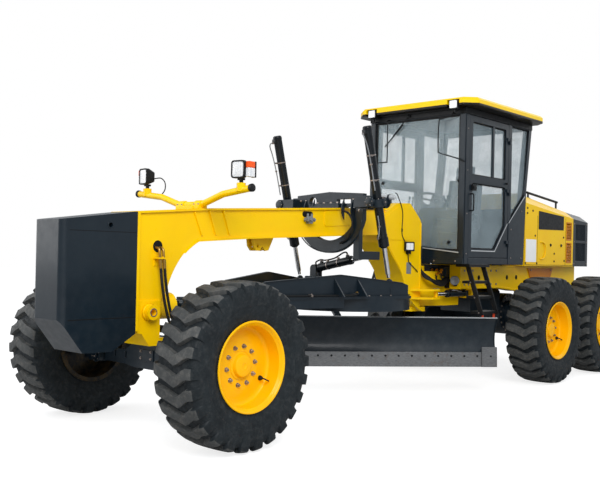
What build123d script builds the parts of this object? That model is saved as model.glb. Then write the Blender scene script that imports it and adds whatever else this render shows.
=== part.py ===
from build123d import *
import math
import os

# Motor grader, millimetres. The front points to -Y, the machine's left is +X, +Z is up.
# The origin is on the ground below the middle of the machine's length and width.

# ---------------------------------------------------------------- driving dimensions
LENGTH = 8900
FRONT_OVERHANG = 1050          # from the nose to the front axle
REAR_OVERHANG = 1631           # from the middle of the tandem to the tail
WHEELBASE = LENGTH - FRONT_OVERHANG - REAR_OVERHANG
TANDEM_SPACING = 1538
TRACK = 2155
NOSE_Y = -LENGTH / 2
TAIL_Y = LENGTH / 2
FRONT_AXLE_Y = NOSE_Y + FRONT_OVERHANG
TANDEM_Y = FRONT_AXLE_Y + WHEELBASE
MID_AXLE_Y = TANDEM_Y - TANDEM_SPACING / 2
REAR_AXLE_Y = TANDEM_Y + TANDEM_SPACING / 2
HALF_TRACK = TRACK / 2

SEAT_GAP = 0.3                 # between pieces that bear on each other and move
PIN_GAP = 0.5                  # all round a pin or a rod in its bore
SWING_GAP = 6                  # beside a panel or a link that moves

TYRE_RADIUS = 674
TYRE_WIDTH = 444
RIM_RADIUS = 330
LUG_COUNT = 24
LUG_DEPTH = 34
LUG_LENGTH = 96                # round the tyre
SIDEWALL_DEPTH = 46
BEAD_RADIUS = 336

PIVOT_Y = 650                  # articulation
CIRCLE_Y = -750
CIRCLE_RADIUS = 700
CIRCLE_FLOOR_Z = 985
CIRCLE_HEIGHT = 90
CIRCLE_WINDOW = 420            # radius of the hole in the circle's top plate

BLADE_LENGTH = 3660
BLADE_HEIGHT = 558
BLADE_FLOOR_Z = 336
BLADE_ANGLE = 50               # the left end is swung to the rear
BLADE_OFFSET = 100             # ahead of the circle's centre
BLADE_SHIFT = -50              # along the blade


# ---------------------------------------------------------------- shapes
def span(middle, width):
    """Low and high value of a width about its middle."""
    return middle - width / 2, middle + width / 2


def block(x_span, y_span, z_span):
    """Box between two values along each axis."""
    spans = (x_span, y_span, z_span)
    middle = [(low + high) / 2 for low, high in spans]
    size = [high - low for low, high in spans]
    return Pos(*middle) * Box(*size)


def rod(start, end, radius):
    """Round bar between two points."""
    axis = Vector(*end) - Vector(*start)
    seat = (Align.CENTER, Align.CENTER, Align.MIN)
    return Plane(origin=start, z_dir=axis) * Cylinder(radius, axis.length, align=seat)


def tube(start, end, outer, inner):
    """Round bar with a bore from end to end."""
    return rod(start, end, outer) - rod(start, end, inner)


def side_plate(outline, x_from, x_to):
    """Plate across the machine from an outline of (y, z) corners."""
    face = Plane.YZ.offset(x_from) * make_face(Polyline(*outline, close=True))
    return extrude(face, x_to - x_from, dir=(1, 0, 0))


def plan_plate(outline, z_from, z_to):
    """Level plate from an outline of (x, y) corners."""
    face = Plane.XY.offset(z_from) * make_face(Polyline(*outline, close=True))
    return extrude(face, z_to - z_from, dir=(0, 0, 1))


def face_plate(outline, y_from, y_to):
    """Plate along the machine from an outline of (x, z) corners."""
    wire = Polyline(*[(x, 0, z) for x, z in outline], close=True)
    return extrude(Pos(0, y_from, 0) * make_face(wire), y_to - y_from, dir=(0, 1, 0))


def pair(solid):
    """A piece and its mirror image on the machine's other side."""
    return solid + mirror(solid, about=Plane.YZ)


def both_sides(outline):
    """Outline of (x, ...) corners down the left side, closed by its mirror image."""
    return outline + [(-x, other) for x, other in reversed(outline)]


def sphere_at(centre, radius):
    """Ball about a point."""
    return Pos(*centre) * Sphere(radius)


# ---------------------------------------------------------------- wheels
RIM_WALL = 14
RIM_HALF_WIDTH = 190
RIM_LIP_RADIUS = 364
RIM_LIP = 14
DISC_X = 40                    # outboard of the wheel's middle
DISC_THICKNESS = 20
HUB_RADIUS = 105
HUB_BACK_X = -124
HUB_CAP_RADIUS = 90
HUB_CAP_HEIGHT = 46
NUT_COUNT = 10
NUT_CIRCLE = 155
NUT_RADIUS = 19
NUT_HEIGHT = 20
SPINDLE_RADIUS = 50
SPINDLE_END_X = 30


def spun(profile):
    """Solid turned about the X axis from a profile of (x, radius) corners."""
    return revolve(make_face(Polyline(*profile, close=True)), Axis.X)


def tyre():
    """Tyre about the X axis: bead, bulged wall, shoulder and tread."""
    half = TYRE_WIDTH / 2
    shoulder = TYRE_RADIUS - 30
    wall = [(half - 52, BEAD_RADIUS), (half - 4, BEAD_RADIUS + 94), (half, 540),
            (half - 22, shoulder), (half - 57, TYRE_RADIUS)]
    return spun(wall + [(-x, radius) for x, radius in reversed(wall)])


def rim():
    """Rim about the X axis, its dished side towards +X, with hub, cap and nuts."""
    outer = BEAD_RADIUS - SEAT_GAP
    inner = outer - RIM_WALL
    edge = RIM_HALF_WIDTH + RIM_LIP
    barrel = spun([(-edge, inner), (edge, inner), (edge, RIM_LIP_RADIUS),
                   (RIM_HALF_WIDTH, RIM_LIP_RADIUS), (RIM_HALF_WIDTH, outer),
                   (-RIM_HALF_WIDTH, outer), (-RIM_HALF_WIDTH, RIM_LIP_RADIUS),
                   (-edge, RIM_LIP_RADIUS)])
    face_x = DISC_X + DISC_THICKNESS
    cap_x = face_x + HUB_CAP_HEIGHT
    bore = SPINDLE_RADIUS + PIN_GAP
    disc = spun([(HUB_BACK_X, bore), (SPINDLE_END_X + PIN_GAP, bore), (SPINDLE_END_X + PIN_GAP, 0),
                 (cap_x, 0), (cap_x, HUB_CAP_RADIUS - 24), (face_x, HUB_CAP_RADIUS),
                 (face_x, HUB_RADIUS + 60), (face_x + 24, inner + 1), (DISC_X + 24, inner + 1),
                 (DISC_X, HUB_RADIUS + 60), (DISC_X, HUB_RADIUS), (HUB_BACK_X, HUB_RADIUS)])
    nut = Pos(face_x + NUT_HEIGHT / 2, 0, NUT_CIRCLE) * Rot(0, 90, 0) * extrude(
        RegularPolygon(NUT_RADIUS, 6), NUT_HEIGHT / 2, both=True)
    nuts = [Rot(360 / NUT_COUNT * index, 0, 0) * nut for index in range(NUT_COUNT)]
    return barrel + disc + nuts


# wheel name, which side it is on, axle position along the machine
WHEELS = [("front_left", 1, FRONT_AXLE_Y), ("front_right", -1, FRONT_AXLE_Y),
          ("mid_left", 1, MID_AXLE_Y), ("mid_right", -1, MID_AXLE_Y),
          ("rear_left", 1, REAR_AXLE_Y), ("rear_right", -1, REAR_AXLE_Y)]


def wheels():
    """Tyres and rims by node name."""
    pieces = {}
    plain_tyre, left_rim = tyre(), rim()
    right_rim = mirror(left_rim, about=Plane.YZ)
    for name, side, axle_y in WHEELS:
        place = Pos(side * HALF_TRACK, axle_y, TYRE_RADIUS)
        pieces["tyre_" + name] = place * plain_tyre
        pieces["rim_" + name] = place * (left_rim if side > 0 else right_rim)
    return pieces


# ---------------------------------------------------------------- front axle
KINGPIN_X = 850
KINGPIN_RADIUS = 30
KINGPIN_BOSS = 58
KINGPIN_BOSS_HEIGHT = 170
LEAN_PIN_X = 700
LEAN_PIN_Z = 600
LEAN_PIN_RADIUS = 28
AXLE_EYE = 70
AXLE_HALF_DEPTH = 50           # along the machine
AXLE_TOP_Z = 744
CHEEK_RADIUS = 72
CHEEK_THICKNESS = 50
LEAN_BAR_X = 690
LEAN_BAR_Z = 880
LEAN_BAR_RADIUS = 24
BRACKET_HALF_DEPTH = 40
YOKE_RADIUS = 62
YOKE_PLATE = 40
STEER_ARM = 130
STEER_BALL = 30
TIE_ROD_RADIUS = 20


def front_axle():
    """Cast axle beam with an eye at each end."""
    low = LEAN_PIN_Z - 55
    top = [(0, AXLE_TOP_Z), (190, AXLE_TOP_Z), (330, LEAN_PIN_Z + 70), (LEAN_PIN_X, LEAN_PIN_Z + 52)]
    bottom = [(LEAN_PIN_X, low), (330, low), (190, low - 20), (0, low - 20)]
    y_span = (FRONT_AXLE_Y - AXLE_HALF_DEPTH, FRONT_AXLE_Y + AXLE_HALF_DEPTH)
    beam = pair(face_plate(top + bottom, *y_span))
    for side in (1, -1):
        x = side * LEAN_PIN_X
        beam += rod((x, y_span[0], LEAN_PIN_Z), (x, y_span[1], LEAN_PIN_Z), AXLE_EYE)
        beam -= rod((x, y_span[0], LEAN_PIN_Z), (x, y_span[1], LEAN_PIN_Z),
                    LEAN_PIN_RADIUS + PIN_GAP)
    return beam


def lean_bracket():
    """Left bracket that leans on the axle's end and holds the kingpin."""
    inner = AXLE_HALF_DEPTH + SWING_GAP
    outer = inner + CHEEK_THICKNESS
    web_x = (LEAN_PIN_X + AXLE_EYE + SWING_GAP, LEAN_PIN_X + AXLE_EYE + SWING_GAP + 30)
    bridge_z = (LEAN_PIN_Z + 90, LEAN_PIN_Z + 160)
    arm_x = span(LEAN_BAR_X, 90)
    y = FRONT_AXLE_Y
    bracket = block(web_x, (y - outer, y + outer), (LEAN_PIN_Z - 10, bridge_z[1]))
    bracket += block((arm_x[0], web_x[1]), (y - outer, y + outer), bridge_z)
    for side in (1, -1):
        near, far = y + side * inner, y + side * outer
        cheek = rod((LEAN_PIN_X, near, LEAN_PIN_Z), (LEAN_PIN_X, far, LEAN_PIN_Z), CHEEK_RADIUS)
        cheek += block((LEAN_PIN_X, web_x[1]), sorted((near, far)), (LEAN_PIN_Z - 60, bridge_z[1]))
        cheek += block((arm_x[0], LEAN_PIN_X), sorted((near, far)), (LEAN_PIN_Z, bridge_z[1]))
        bracket += cheek
    bracket += rod((LEAN_PIN_X, y - outer - 12, LEAN_PIN_Z), (LEAN_PIN_X, y + outer + 12, LEAN_PIN_Z),
                   LEAN_PIN_RADIUS)
    arm = block(arm_x, span(y, 2 * BRACKET_HALF_DEPTH), (bridge_z[1], LEAN_BAR_Z))
    arm += rod((LEAN_BAR_X, y - BRACKET_HALF_DEPTH, LEAN_BAR_Z),
               (LEAN_BAR_X, y + BRACKET_HALF_DEPTH, LEAN_BAR_Z), 45)
    boss_z = span(TYRE_RADIUS, KINGPIN_BOSS_HEIGHT)
    boss = rod((KINGPIN_X, y, boss_z[0]), (KINGPIN_X, y, boss_z[1]), KINGPIN_BOSS)
    boss += block((web_x[0], KINGPIN_X), span(y, 100), boss_z)
    boss -= rod((KINGPIN_X, y, boss_z[0]), (KINGPIN_X, y, boss_z[1]), KINGPIN_RADIUS + PIN_GAP)
    return bracket + arm + boss


def knuckle():
    """Left steering knuckle: yoke round the bracket's boss, kingpin, spindle and arm."""
    y = FRONT_AXLE_Y
    low = TYRE_RADIUS - KINGPIN_BOSS_HEIGHT / 2 - SWING_GAP
    high = TYRE_RADIUS + KINGPIN_BOSS_HEIGHT / 2 + SWING_GAP
    back_x = (KINGPIN_X + KINGPIN_BOSS + SWING_GAP + 1, KINGPIN_X + KINGPIN_BOSS + SWING_GAP + 28)
    yoke = block(back_x, span(y, 2 * YOKE_RADIUS), (low - YOKE_PLATE, high + YOKE_PLATE))
    for start in (low - YOKE_PLATE, high):
        yoke += rod((KINGPIN_X, y, start), (KINGPIN_X, y, start + YOKE_PLATE), YOKE_RADIUS)
        yoke += block((KINGPIN_X, back_x[1]), span(y, 2 * YOKE_RADIUS), (start, start + YOKE_PLATE))
    yoke += rod((KINGPIN_X, y, low - YOKE_PLATE), (KINGPIN_X, y, high + YOKE_PLATE), KINGPIN_RADIUS)
    spindle = rod((back_x[0], y, TYRE_RADIUS),
                  (HALF_TRACK + SPINDLE_END_X, y, TYRE_RADIUS), SPINDLE_RADIUS)
    ball_y = y + STEER_ARM
    arm = block(span(KINGPIN_X, 50), (y, ball_y), (high, high + YOKE_PLATE))
    arm += rod((KINGPIN_X, ball_y, high), (KINGPIN_X, ball_y, high + YOKE_PLATE + 14), STEER_BALL)
    return yoke + spindle + arm


def lean_bar():
    """Bar that ties the tops of the two brackets together."""
    near = FRONT_AXLE_Y + BRACKET_HALF_DEPTH + SEAT_GAP
    far = near + 2 * LEAN_BAR_RADIUS
    middle = (near + far) / 2
    bar = rod((-LEAN_BAR_X, middle, LEAN_BAR_Z), (LEAN_BAR_X, middle, LEAN_BAR_Z), LEAN_BAR_RADIUS)
    for side in (1, -1):
        x = side * LEAN_BAR_X
        bar += rod((x, near, LEAN_BAR_Z), (x, far, LEAN_BAR_Z), 40)
    return bar


def tie_rod():
    """Rod that bears on the balls of the two steering arms."""
    near = FRONT_AXLE_Y + STEER_ARM + STEER_BALL + SEAT_GAP
    z = TYRE_RADIUS + KINGPIN_BOSS_HEIGHT / 2 + SWING_GAP + YOKE_PLATE / 2
    middle = near + TIE_ROD_RADIUS
    bar = rod((-KINGPIN_X, middle, z), (KINGPIN_X, middle, z), TIE_ROD_RADIUS)
    for side in (1, -1):
        bar += block(span(side * KINGPIN_X, 60), (near, near + 30), span(z, 60))
    return bar


# ---------------------------------------------------------------- front frame
BEAM_HALF_WIDTH = 160
FLANGE_HALF_WIDTH = 182
FLANGE_THICKNESS = 18
LEG_HALF_WIDTH = 195
NOSE_FACE_Y = NOSE_Y + 720     # front of the beam, where the counterweight bears
LEG_BACK_Y = FRONT_AXLE_Y - 50
LEG_FLOOR_Z = 750
BALL_Y = FRONT_AXLE_Y + 170    # drawbar ball
BALL_Z = 1080
BALL_RADIUS = 80
SOCKET_RADIUS = 118
TONGUE_RADIUS = 130            # about the articulation pivot
PIVOT_PIN_RADIUS = 45
TONGUES = [(905, 960), (1400, 1462)]      # low and high z of the two tongues
EAR_LEVELS = [(1058, 1082), (1158, 1182)]
EAR_PIN_X = 330
EAR_PIN_Y = PIVOT_Y
EAR_PIN_RADIUS = 22
NOSE_BORE_RADIUS = 28
NOSE_BOSS_RADIUS = 65
NOSE_BOSS_REACH = 60           # beyond the flange on each side
NOSE_BORE = (FRONT_AXLE_Y - 172, 1043)      # y and z of the tow bore across the nose
NOSE_SEAM_Z = 1140             # top of the cast foot below the beam's nose
NOSE_FOOT_HALF_WIDTH = 174
AXLE_SEAT_HALF_WIDTH = 110


def beam_top():
    """Corners along the top of the beam, front to rear."""
    return [(NOSE_FACE_Y, 1900), (FRONT_AXLE_Y + 513, 1971), (-670, 2101), (-200, 2128)]


def beam_outline(inset):
    """Closed outline of the gooseneck beam, made smaller by an inset at top and bottom."""
    top = [(y, z - inset) for y, z in beam_top()]
    y = FRONT_AXLE_Y
    bottom = [(-200, 1817 + inset), (-680, 1793 + inset), (y + 1030, 1706 + inset), (y + 370, 1660 + inset)]
    throat = (y + 29, 1229)
    lines = Polyline(throat, (LEG_BACK_Y, 1130), (LEG_BACK_Y, LEG_FLOOR_Z), (y - 160, LEG_FLOOR_Z),
                     (y - 240, 857), (NOSE_FACE_Y, 880), *top, *bottom)
    return make_face(lines + ThreePointArc(bottom[-1], (y + 215, 1552), throat))


def beam_solid(web_half_width):
    """Beam and nose in one: a web of a stated width and wider flanges round its outline."""
    web = extrude(Plane.YZ * beam_outline(FLANGE_THICKNESS), web_half_width, both=True)
    full = extrude(Plane.YZ * beam_outline(0), FLANGE_HALF_WIDTH, both=True)
    core = extrude(Plane.YZ * beam_outline(FLANGE_THICKNESS), FLANGE_HALF_WIDTH + 1, both=True)
    return web + (full - core)


def nose_part(z_from, z_to):
    """Space round the nose between two heights."""
    return block((-LEG_HALF_WIDTH - 1, LEG_HALF_WIDTH + 1), (NOSE_FACE_Y - 1, BALL_Y), (z_from, z_to))


def rear_leg():
    """Wide hollow-looking leg between the beam and the articulation."""
    foot_z = TONGUES[0]
    lines = Polyline((169, 1229), (94, 1388), (-219, 1726), (-273, 2048), (0, 2196), (266, 2206),
                     (466, 2038), (500, 1990), (500, foot_z[1]), (620, foot_z[1]), (620, foot_z[0]),
                     (560, foot_z[0]))
    outline = make_face(lines + ThreePointArc((560, foot_z[0]), (350, 1020), (169, 1229)))
    leg = extrude(Plane.YZ * outline, LEG_HALF_WIDTH, both=True)
    for low, high in TONGUES:
        leg += block((-TONGUE_RADIUS, TONGUE_RADIUS), (420, PIVOT_Y), (low, high))
        leg += rod((0, PIVOT_Y, low), (0, PIVOT_Y, high), TONGUE_RADIUS)
        leg -= rod((0, PIVOT_Y, low), (0, PIVOT_Y, high), PIVOT_PIN_RADIUS + PIN_GAP)
    return leg


def ears():
    """Level plates on the leg's sides that hold the articulation cylinders' rod eyes."""
    outline = [(LEG_HALF_WIDTH - 5, 300), (EAR_PIN_X + 50, 520), (EAR_PIN_X + 50, EAR_PIN_Y),
               (EAR_PIN_X - 50, EAR_PIN_Y), (EAR_PIN_X - 70, 560), (LEG_HALF_WIDTH - 5, 500)]
    low, high = EAR_LEVELS[0][0], EAR_LEVELS[-1][1]
    ear = rod((EAR_PIN_X, EAR_PIN_Y, low), (EAR_PIN_X, EAR_PIN_Y, high), EAR_PIN_RADIUS)
    for level in EAR_LEVELS:
        ear += plan_plate(outline, *level)
        ear += rod((EAR_PIN_X, EAR_PIN_Y, level[0]), (EAR_PIN_X, EAR_PIN_Y, level[1]), 50)
    return pair(ear)


def socket_cup():
    """Round cup behind the nose leg, before its ball seat is cut."""
    return rod((0, LEG_BACK_Y - 40, BALL_Z), (0, BALL_Y + 15, BALL_Z), SOCKET_RADIUS)


def beam_lug():
    """Twin tabs under the beam that hold the transport lock."""
    tab = side_plate([(-2225, 1730), (-2210, 1640), (-2170, 1593), (-2120, 1593), (-2085, 1640),
                      (-2040, 1593), (-1995, 1600), (-1910, 1760)], 24, 46)
    tab -= rod((20, -2145, 1640), (50, -2145, 1640), 17)
    return pair(tab)


def front_frame():
    """Gooseneck frame from the nose to the articulation."""
    beam = beam_solid(BEAM_HALF_WIDTH) - nose_part(LEG_FLOOR_Z - 1, NOSE_SEAM_Z) - socket_cup()
    return beam + rear_leg() + ears() + beam_lug()


def nose_leg():
    """Cast foot of the nose: tow boss, ball socket and the seat of the axle."""
    y, z = NOSE_BORE
    reach = FLANGE_HALF_WIDTH + NOSE_BOSS_REACH
    leg = beam_solid(NOSE_FOOT_HALF_WIDTH) & nose_part(LEG_FLOOR_Z, NOSE_SEAM_Z)
    leg += socket_cup() + rod((-reach, y, z), (reach, y, z), NOSE_BOSS_RADIUS)
    leg += block((-AXLE_SEAT_HALF_WIDTH, AXLE_SEAT_HALF_WIDTH), span(FRONT_AXLE_Y, 2 * AXLE_HALF_DEPTH),
                 (AXLE_TOP_Z, LEG_FLOOR_Z + 60))
    leg -= sphere_at((0, BALL_Y, BALL_Z), BALL_RADIUS + SEAT_GAP)
    return leg - rod((-reach, y, z), (reach, y, z), NOSE_BORE_RADIUS)


# ---------------------------------------------------------------- counterweight
WEIGHT_HALF_WIDTH = 205
LIFTING_HOLE = (NOSE_Y + 450, 1770)
LIFTING_HOLE_RADIUS = 20


def counterweight():
    """Cast nose weight with a slanted chin and rounded front corners."""
    weight = side_plate([(NOSE_Y, 1010), (NOSE_Y, 1800), (NOSE_Y + 40, 1806), (NOSE_FACE_Y, 1896),
                         (NOSE_FACE_Y, 870), (NOSE_Y + 490, 735), (NOSE_Y + 210, 740)],
                        -WEIGHT_HALF_WIDTH, WEIGHT_HALF_WIDTH)
    upright = weight.edges().filter_by(Axis.Z).group_by(Axis.Y)[0]
    weight = fillet(upright, 55)
    y, z = LIFTING_HOLE
    hole = rod((-WEIGHT_HALF_WIDTH - 1, y, z), (WEIGHT_HALF_WIDTH + 1, y, z), LIFTING_HOLE_RADIUS)
    return weight - hole


# ---------------------------------------------------------------- front lamps
LAMP_BAR_Y = FRONT_AXLE_Y + 420
LAMP_BAR_RADIUS = 30
LAMP_X = 660


def lamp_bar():
    """Bent tube across the beam with upturned ends and a lamp stalk each side."""
    corners = [(0, 2000), (150, 2000), (430, 2085), (730, 2120)]
    piece = None
    for side in (1, -1):
        points = [(side * x, LAMP_BAR_Y, z) for x, z in corners]
        for start, end in zip(points, points[1:]):
            part = rod(start, end, LAMP_BAR_RADIUS) + sphere_at(end, LAMP_BAR_RADIUS)
            piece = part if piece is None else piece + part
        piece += rod((side * 730, LAMP_BAR_Y, 2120), (side * 780, LAMP_BAR_Y, 2126), LAMP_BAR_RADIUS)
        piece += rod((side * LAMP_X, LAMP_BAR_Y, 2115), (side * LAMP_X, LAMP_BAR_Y, 2210), 16)
    foot = block((-90, 90), span(LAMP_BAR_Y, 130), (1940, 1990))
    return piece + foot - extrude(Plane.YZ * beam_outline(0), FLANGE_HALF_WIDTH, both=True)


def front_lamps():
    """Square lamps on the stalks, with the marker lamps outboard of them."""
    lamp = block(span(LAMP_X, 150), span(LAMP_BAR_Y, 120), (2210, 2370))
    lamp += block((LAMP_X + 75, LAMP_X + 125), span(LAMP_BAR_Y, 80), (2225, 2355))
    return pair(lamp)


# ---------------------------------------------------------------- saddle and lift cylinders
SADDLE_Y = (-1010, -950)
SADDLE_HALF_WIDTH = 472
SADDLE_TOP_Z = 2240
SADDLE_MIDDLE_Z = 1950
SADDLE_FLOOR_Z = 1590
SADDLE_RING = 122              # width of the band
LIFT_X = 642
YOKE_Y = -980
YOKE_Z = 2130
LIFT_BALL_Y = CIRCLE_Y
LIFT_BALL_Z = 1290
LIFT_BALL_RADIUS = 36
LIFT_BARREL_RADIUS = 48
LIFT_ROD_RADIUS = 25
LIFT_ABOVE = 790               # barrel above the yoke
LIFT_BELOW = 470               # barrel below the yoke
LIFT_END_GAP = 12              # between the rod's end and its ball
TRUNNION_RADIUS = 30
YOKE_OUTER = 86
YOKE_HEIGHT = 76
YOKE_SWEEP = math.hypot(YOKE_OUTER, YOKE_HEIGHT / 2)   # reach of the ring's corners as it swings
CENTRE_Y = -690                # centre-shift cylinder
CENTRE_EYE = (-450, 1410)      # x and z of its eye on the drawbar
CENTRE_BALL = (330, 1570)      # x and z of its ball below the saddle
CENTRE_RADIUS = 46
CENTRE_ROD_RADIUS = 26
CENTRE_BARREL = 536
CENTRE_BALL_RADIUS = 34
CENTRE_SEAT_GAP = 24          # between the ball and its seat below the saddle
CENTRE_SEAT = 40


def saddle():
    """Plate across the beam with a ring below it and a trunnion seat at each end."""
    half, ring = SADDLE_HALF_WIDTH, SADDLE_RING
    low, high = SADDLE_Y
    top_z, mid_z, floor_z = SADDLE_TOP_Z, SADDLE_MIDDLE_Z, SADDLE_FLOOR_Z
    outer = Polyline((-half, 0, mid_z), (-half, 0, top_z - 10), (0, 0, top_z + 20),
                     (half, 0, top_z - 10), (half, 0, mid_z))
    outer += ThreePointArc((half, 0, mid_z), (0, 0, floor_z), (-half, 0, mid_z))
    gap = half - ring
    inner = Polyline((-gap, 0, mid_z), (-gap, 0, top_z - 150), (gap, 0, top_z - 150), (gap, 0, mid_z))
    inner += ThreePointArc((gap, 0, mid_z), (0, 0, floor_z + ring + 16), (-gap, 0, mid_z))
    plate = extrude(Pos(0, low, 0) * (make_face(outer) - make_face(inner)), high - low, dir=(0, 1, 0))
    beam = extrude(Plane.YZ * beam_outline(0), FLANGE_HALF_WIDTH, both=True)
    seat = block((-FLANGE_HALF_WIDTH, FLANGE_HALF_WIDTH), (low - 60, high + 60), (2040, 2110)) - beam
    plate = plate - beam + seat
    plate -= rod((-240, low, 2160), (-240, high, 2160), 52)
    plate -= block((110, 300), (low, high), (2128, 2176))
    for side in (1, -1):
        pad_x = sorted((side * (half - 20), side * (LIFT_X - YOKE_SWEEP - SWING_GAP)))
        plate += block(pad_x, (low, YOKE_Y + 70), span(YOKE_Z, 150))
        fork_x = sorted((side * (half - 20), side * (LIFT_X + 20)))
        for near in (YOKE_Y - YOKE_OUTER - 62, YOKE_Y + YOKE_OUTER + 22):
            arm = block(fork_x, (near, near + 40), span(YOKE_Z, 110))
            arm -= rod((side * LIFT_X, near, YOKE_Z), (side * LIFT_X, near + 40, YOKE_Z),
                       TRUNNION_RADIUS + PIN_GAP)
            plate += arm
        tie_y = (YOKE_Y - YOKE_OUTER - 62, YOKE_Y + YOKE_OUTER + 62)
        plate += block(sorted((side * (half - 40), side * (half + 20))), tie_y, span(YOKE_Z, 110))
    x, z = CENTRE_BALL
    seat_x = x + CENTRE_BALL_RADIUS + CENTRE_SEAT_GAP
    plate += block((seat_x, seat_x + CENTRE_SEAT), (low, CENTRE_Y + 50), span(z, 90))
    plate += block((seat_x - 40, seat_x + CENTRE_SEAT), (low, high), (z - 45, SADDLE_MIDDLE_Z - 60))
    return plate


def lift_axis():
    """Unit vector down a lift cylinder, and the distance from its yoke to its ball."""
    axis = Vector(0, LIFT_BALL_Y - YOKE_Y, LIFT_BALL_Z - YOKE_Z)
    return axis.normalized(), axis.length


def along(origin, axis, distance):
    """Point at a distance along an axis."""
    return tuple(Vector(*origin) + axis * distance)


def lift_yoke():
    """Left trunnion ring that lets the cylinder swing both ways."""
    centre = (LIFT_X, YOKE_Y, YOKE_Z)
    axis, _ = lift_axis()
    bore = LIFT_BARREL_RADIUS + 10
    ring = tube(along(centre, axis, -YOKE_HEIGHT / 2), along(centre, axis, YOKE_HEIGHT / 2),
                YOKE_OUTER, bore)
    reach = YOKE_OUTER + 62
    for side in (1, -1):
        ring += rod((LIFT_X, YOKE_Y + side * (bore + 12), YOKE_Z),
                    (LIFT_X, YOKE_Y + side * reach, YOKE_Z), TRUNNION_RADIUS)
        ring -= rod((LIFT_X + side * (bore - 20), YOKE_Y, YOKE_Z),
                    (LIFT_X + side * (YOKE_OUTER + 1), YOKE_Y, YOKE_Z), 22 + PIN_GAP)
    return ring


def lift_barrel():
    """Left lift cylinder's barrel with its cross trunnions and open lower end."""
    centre = (LIFT_X, YOKE_Y, YOKE_Z)
    axis, _ = lift_axis()
    top, bottom = along(centre, axis, -LIFT_ABOVE), along(centre, axis, LIFT_BELOW)
    barrel = rod(top, bottom, LIFT_BARREL_RADIUS)
    barrel += rod(along(centre, axis, LIFT_BELOW - 90), bottom, LIFT_BARREL_RADIUS + 8)
    barrel += rod((LIFT_X - YOKE_OUTER + 4, YOKE_Y, YOKE_Z), (LIFT_X + YOKE_OUTER - 4, YOKE_Y, YOKE_Z), 22)
    return barrel - rod(along(top, axis, 30), bottom, LIFT_ROD_RADIUS + PIN_GAP)


def lift_rod():
    """Left lift cylinder's rod, ending just above its ball."""
    centre = (LIFT_X, YOKE_Y, YOKE_Z)
    axis, length = lift_axis()
    end = length - LIFT_BALL_RADIUS - LIFT_END_GAP
    piece = rod(along(centre, axis, -LIFT_ABOVE + 150), along(centre, axis, end - 40), LIFT_ROD_RADIUS)
    return piece + rod(along(centre, axis, end - 40), along(centre, axis, end), LIFT_ROD_RADIUS - 6)


def centre_axis():
    """Unit vector along the centre-shift cylinder, and its length between centres."""
    axis = Vector(CENTRE_BALL[0] - CENTRE_EYE[0], 0, CENTRE_BALL[1] - CENTRE_EYE[1])
    return axis.normalized(), axis.length


def centre_barrel():
    """Centre-shift barrel on its eye above the drawbar."""
    start = (CENTRE_EYE[0], CENTRE_Y, CENTRE_EYE[1])
    axis, _ = centre_axis()
    barrel = rod(along(start, axis, 64), along(start, axis, CENTRE_BARREL), CENTRE_RADIUS)
    barrel += rod(start, along(start, axis, 64), 25)
    barrel += rod((start[0], CENTRE_Y - 26, start[2]), (start[0], CENTRE_Y + 26, start[2]), 48)
    barrel -= rod((start[0], CENTRE_Y - 26, start[2]), (start[0], CENTRE_Y + 26, start[2]), 24 + PIN_GAP)
    return barrel - rod(along(start, axis, 66), along(start, axis, CENTRE_BARREL),
                        CENTRE_ROD_RADIUS + PIN_GAP)


def centre_rod():
    """Centre-shift rod with a ball end facing its seat below the saddle."""
    start = (CENTRE_EYE[0], CENTRE_Y, CENTRE_EYE[1])
    axis, length = centre_axis()
    piece = rod(along(start, axis, 285), along(start, axis, length), CENTRE_ROD_RADIUS)
    return piece + sphere_at(along(start, axis, length), CENTRE_BALL_RADIUS)


# ---------------------------------------------------------------- drawbar and circle
CLEVIS_Y = BALL_Y + 120
CLEVIS_PIN_RADIUS = 26
CLEVIS_HALF_WIDTH = 112
STUB_HALF_WIDTH = 45
GREASE_BORE_RADIUS = 12
NECK_Y = CLEVIS_Y + 84
DRAWBAR_SPREAD = 0.30          # sideways run of each leg for each millimetre of length
DRAWBAR_TAIL_Y = -590
DRAWBAR_FLOOR_Z = CIRCLE_FLOOR_Z + CIRCLE_HEIGHT + SEAT_GAP
FLANGE_Z = (1120, 1148)
WEB_THICKNESS = 26
RIB_FRONT = 136                # height of the upright webs above the flange
RIB_MIDDLE = 212
RIB_BACK = 130
GUARD_RADIUS = CIRCLE_RADIUS + 50


def drawbar_ball():
    """Ball in the nose socket, bored for grease, with the eye of the drawbar's clevis."""
    ball = sphere_at((0, BALL_Y, BALL_Z), BALL_RADIUS)
    ball -= rod((0, BALL_Y, BALL_Z), (0, BALL_Y, BALL_Z + BALL_RADIUS), GREASE_BORE_RADIUS)
    eye = rod((-STUB_HALF_WIDTH, CLEVIS_Y, BALL_Z), (STUB_HALF_WIDTH, CLEVIS_Y, BALL_Z), 48)
    eye += block(span(0, 2 * STUB_HALF_WIDTH), (BALL_Y + GREASE_BORE_RADIUS + 2, CLEVIS_Y), span(BALL_Z, 90))
    pin = rod((-CLEVIS_HALF_WIDTH - 12, CLEVIS_Y, BALL_Z),
              (CLEVIS_HALF_WIDTH + 12, CLEVIS_Y, BALL_Z), CLEVIS_PIN_RADIUS)
    return ball + eye + pin


def leg_x(y):
    """Middle of the drawbar's left leg at a place along the machine."""
    return DRAWBAR_SPREAD * (y - BALL_Y - 80)


def leg_plate(corners, thickness):
    """Upright plate along the left leg from (y, z) corners."""
    heading = Vector(DRAWBAR_SPREAD, 1, 0)
    stretch = heading.length
    plane = Plane(origin=(leg_x(0), 0, 0), x_dir=heading, z_dir=Vector(1, -DRAWBAR_SPREAD, 0))
    outline = [(y * stretch, z) for y, z in corners]
    return extrude(plane * make_face(Polyline(*outline, close=True)), thickness / 2, both=True)


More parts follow.
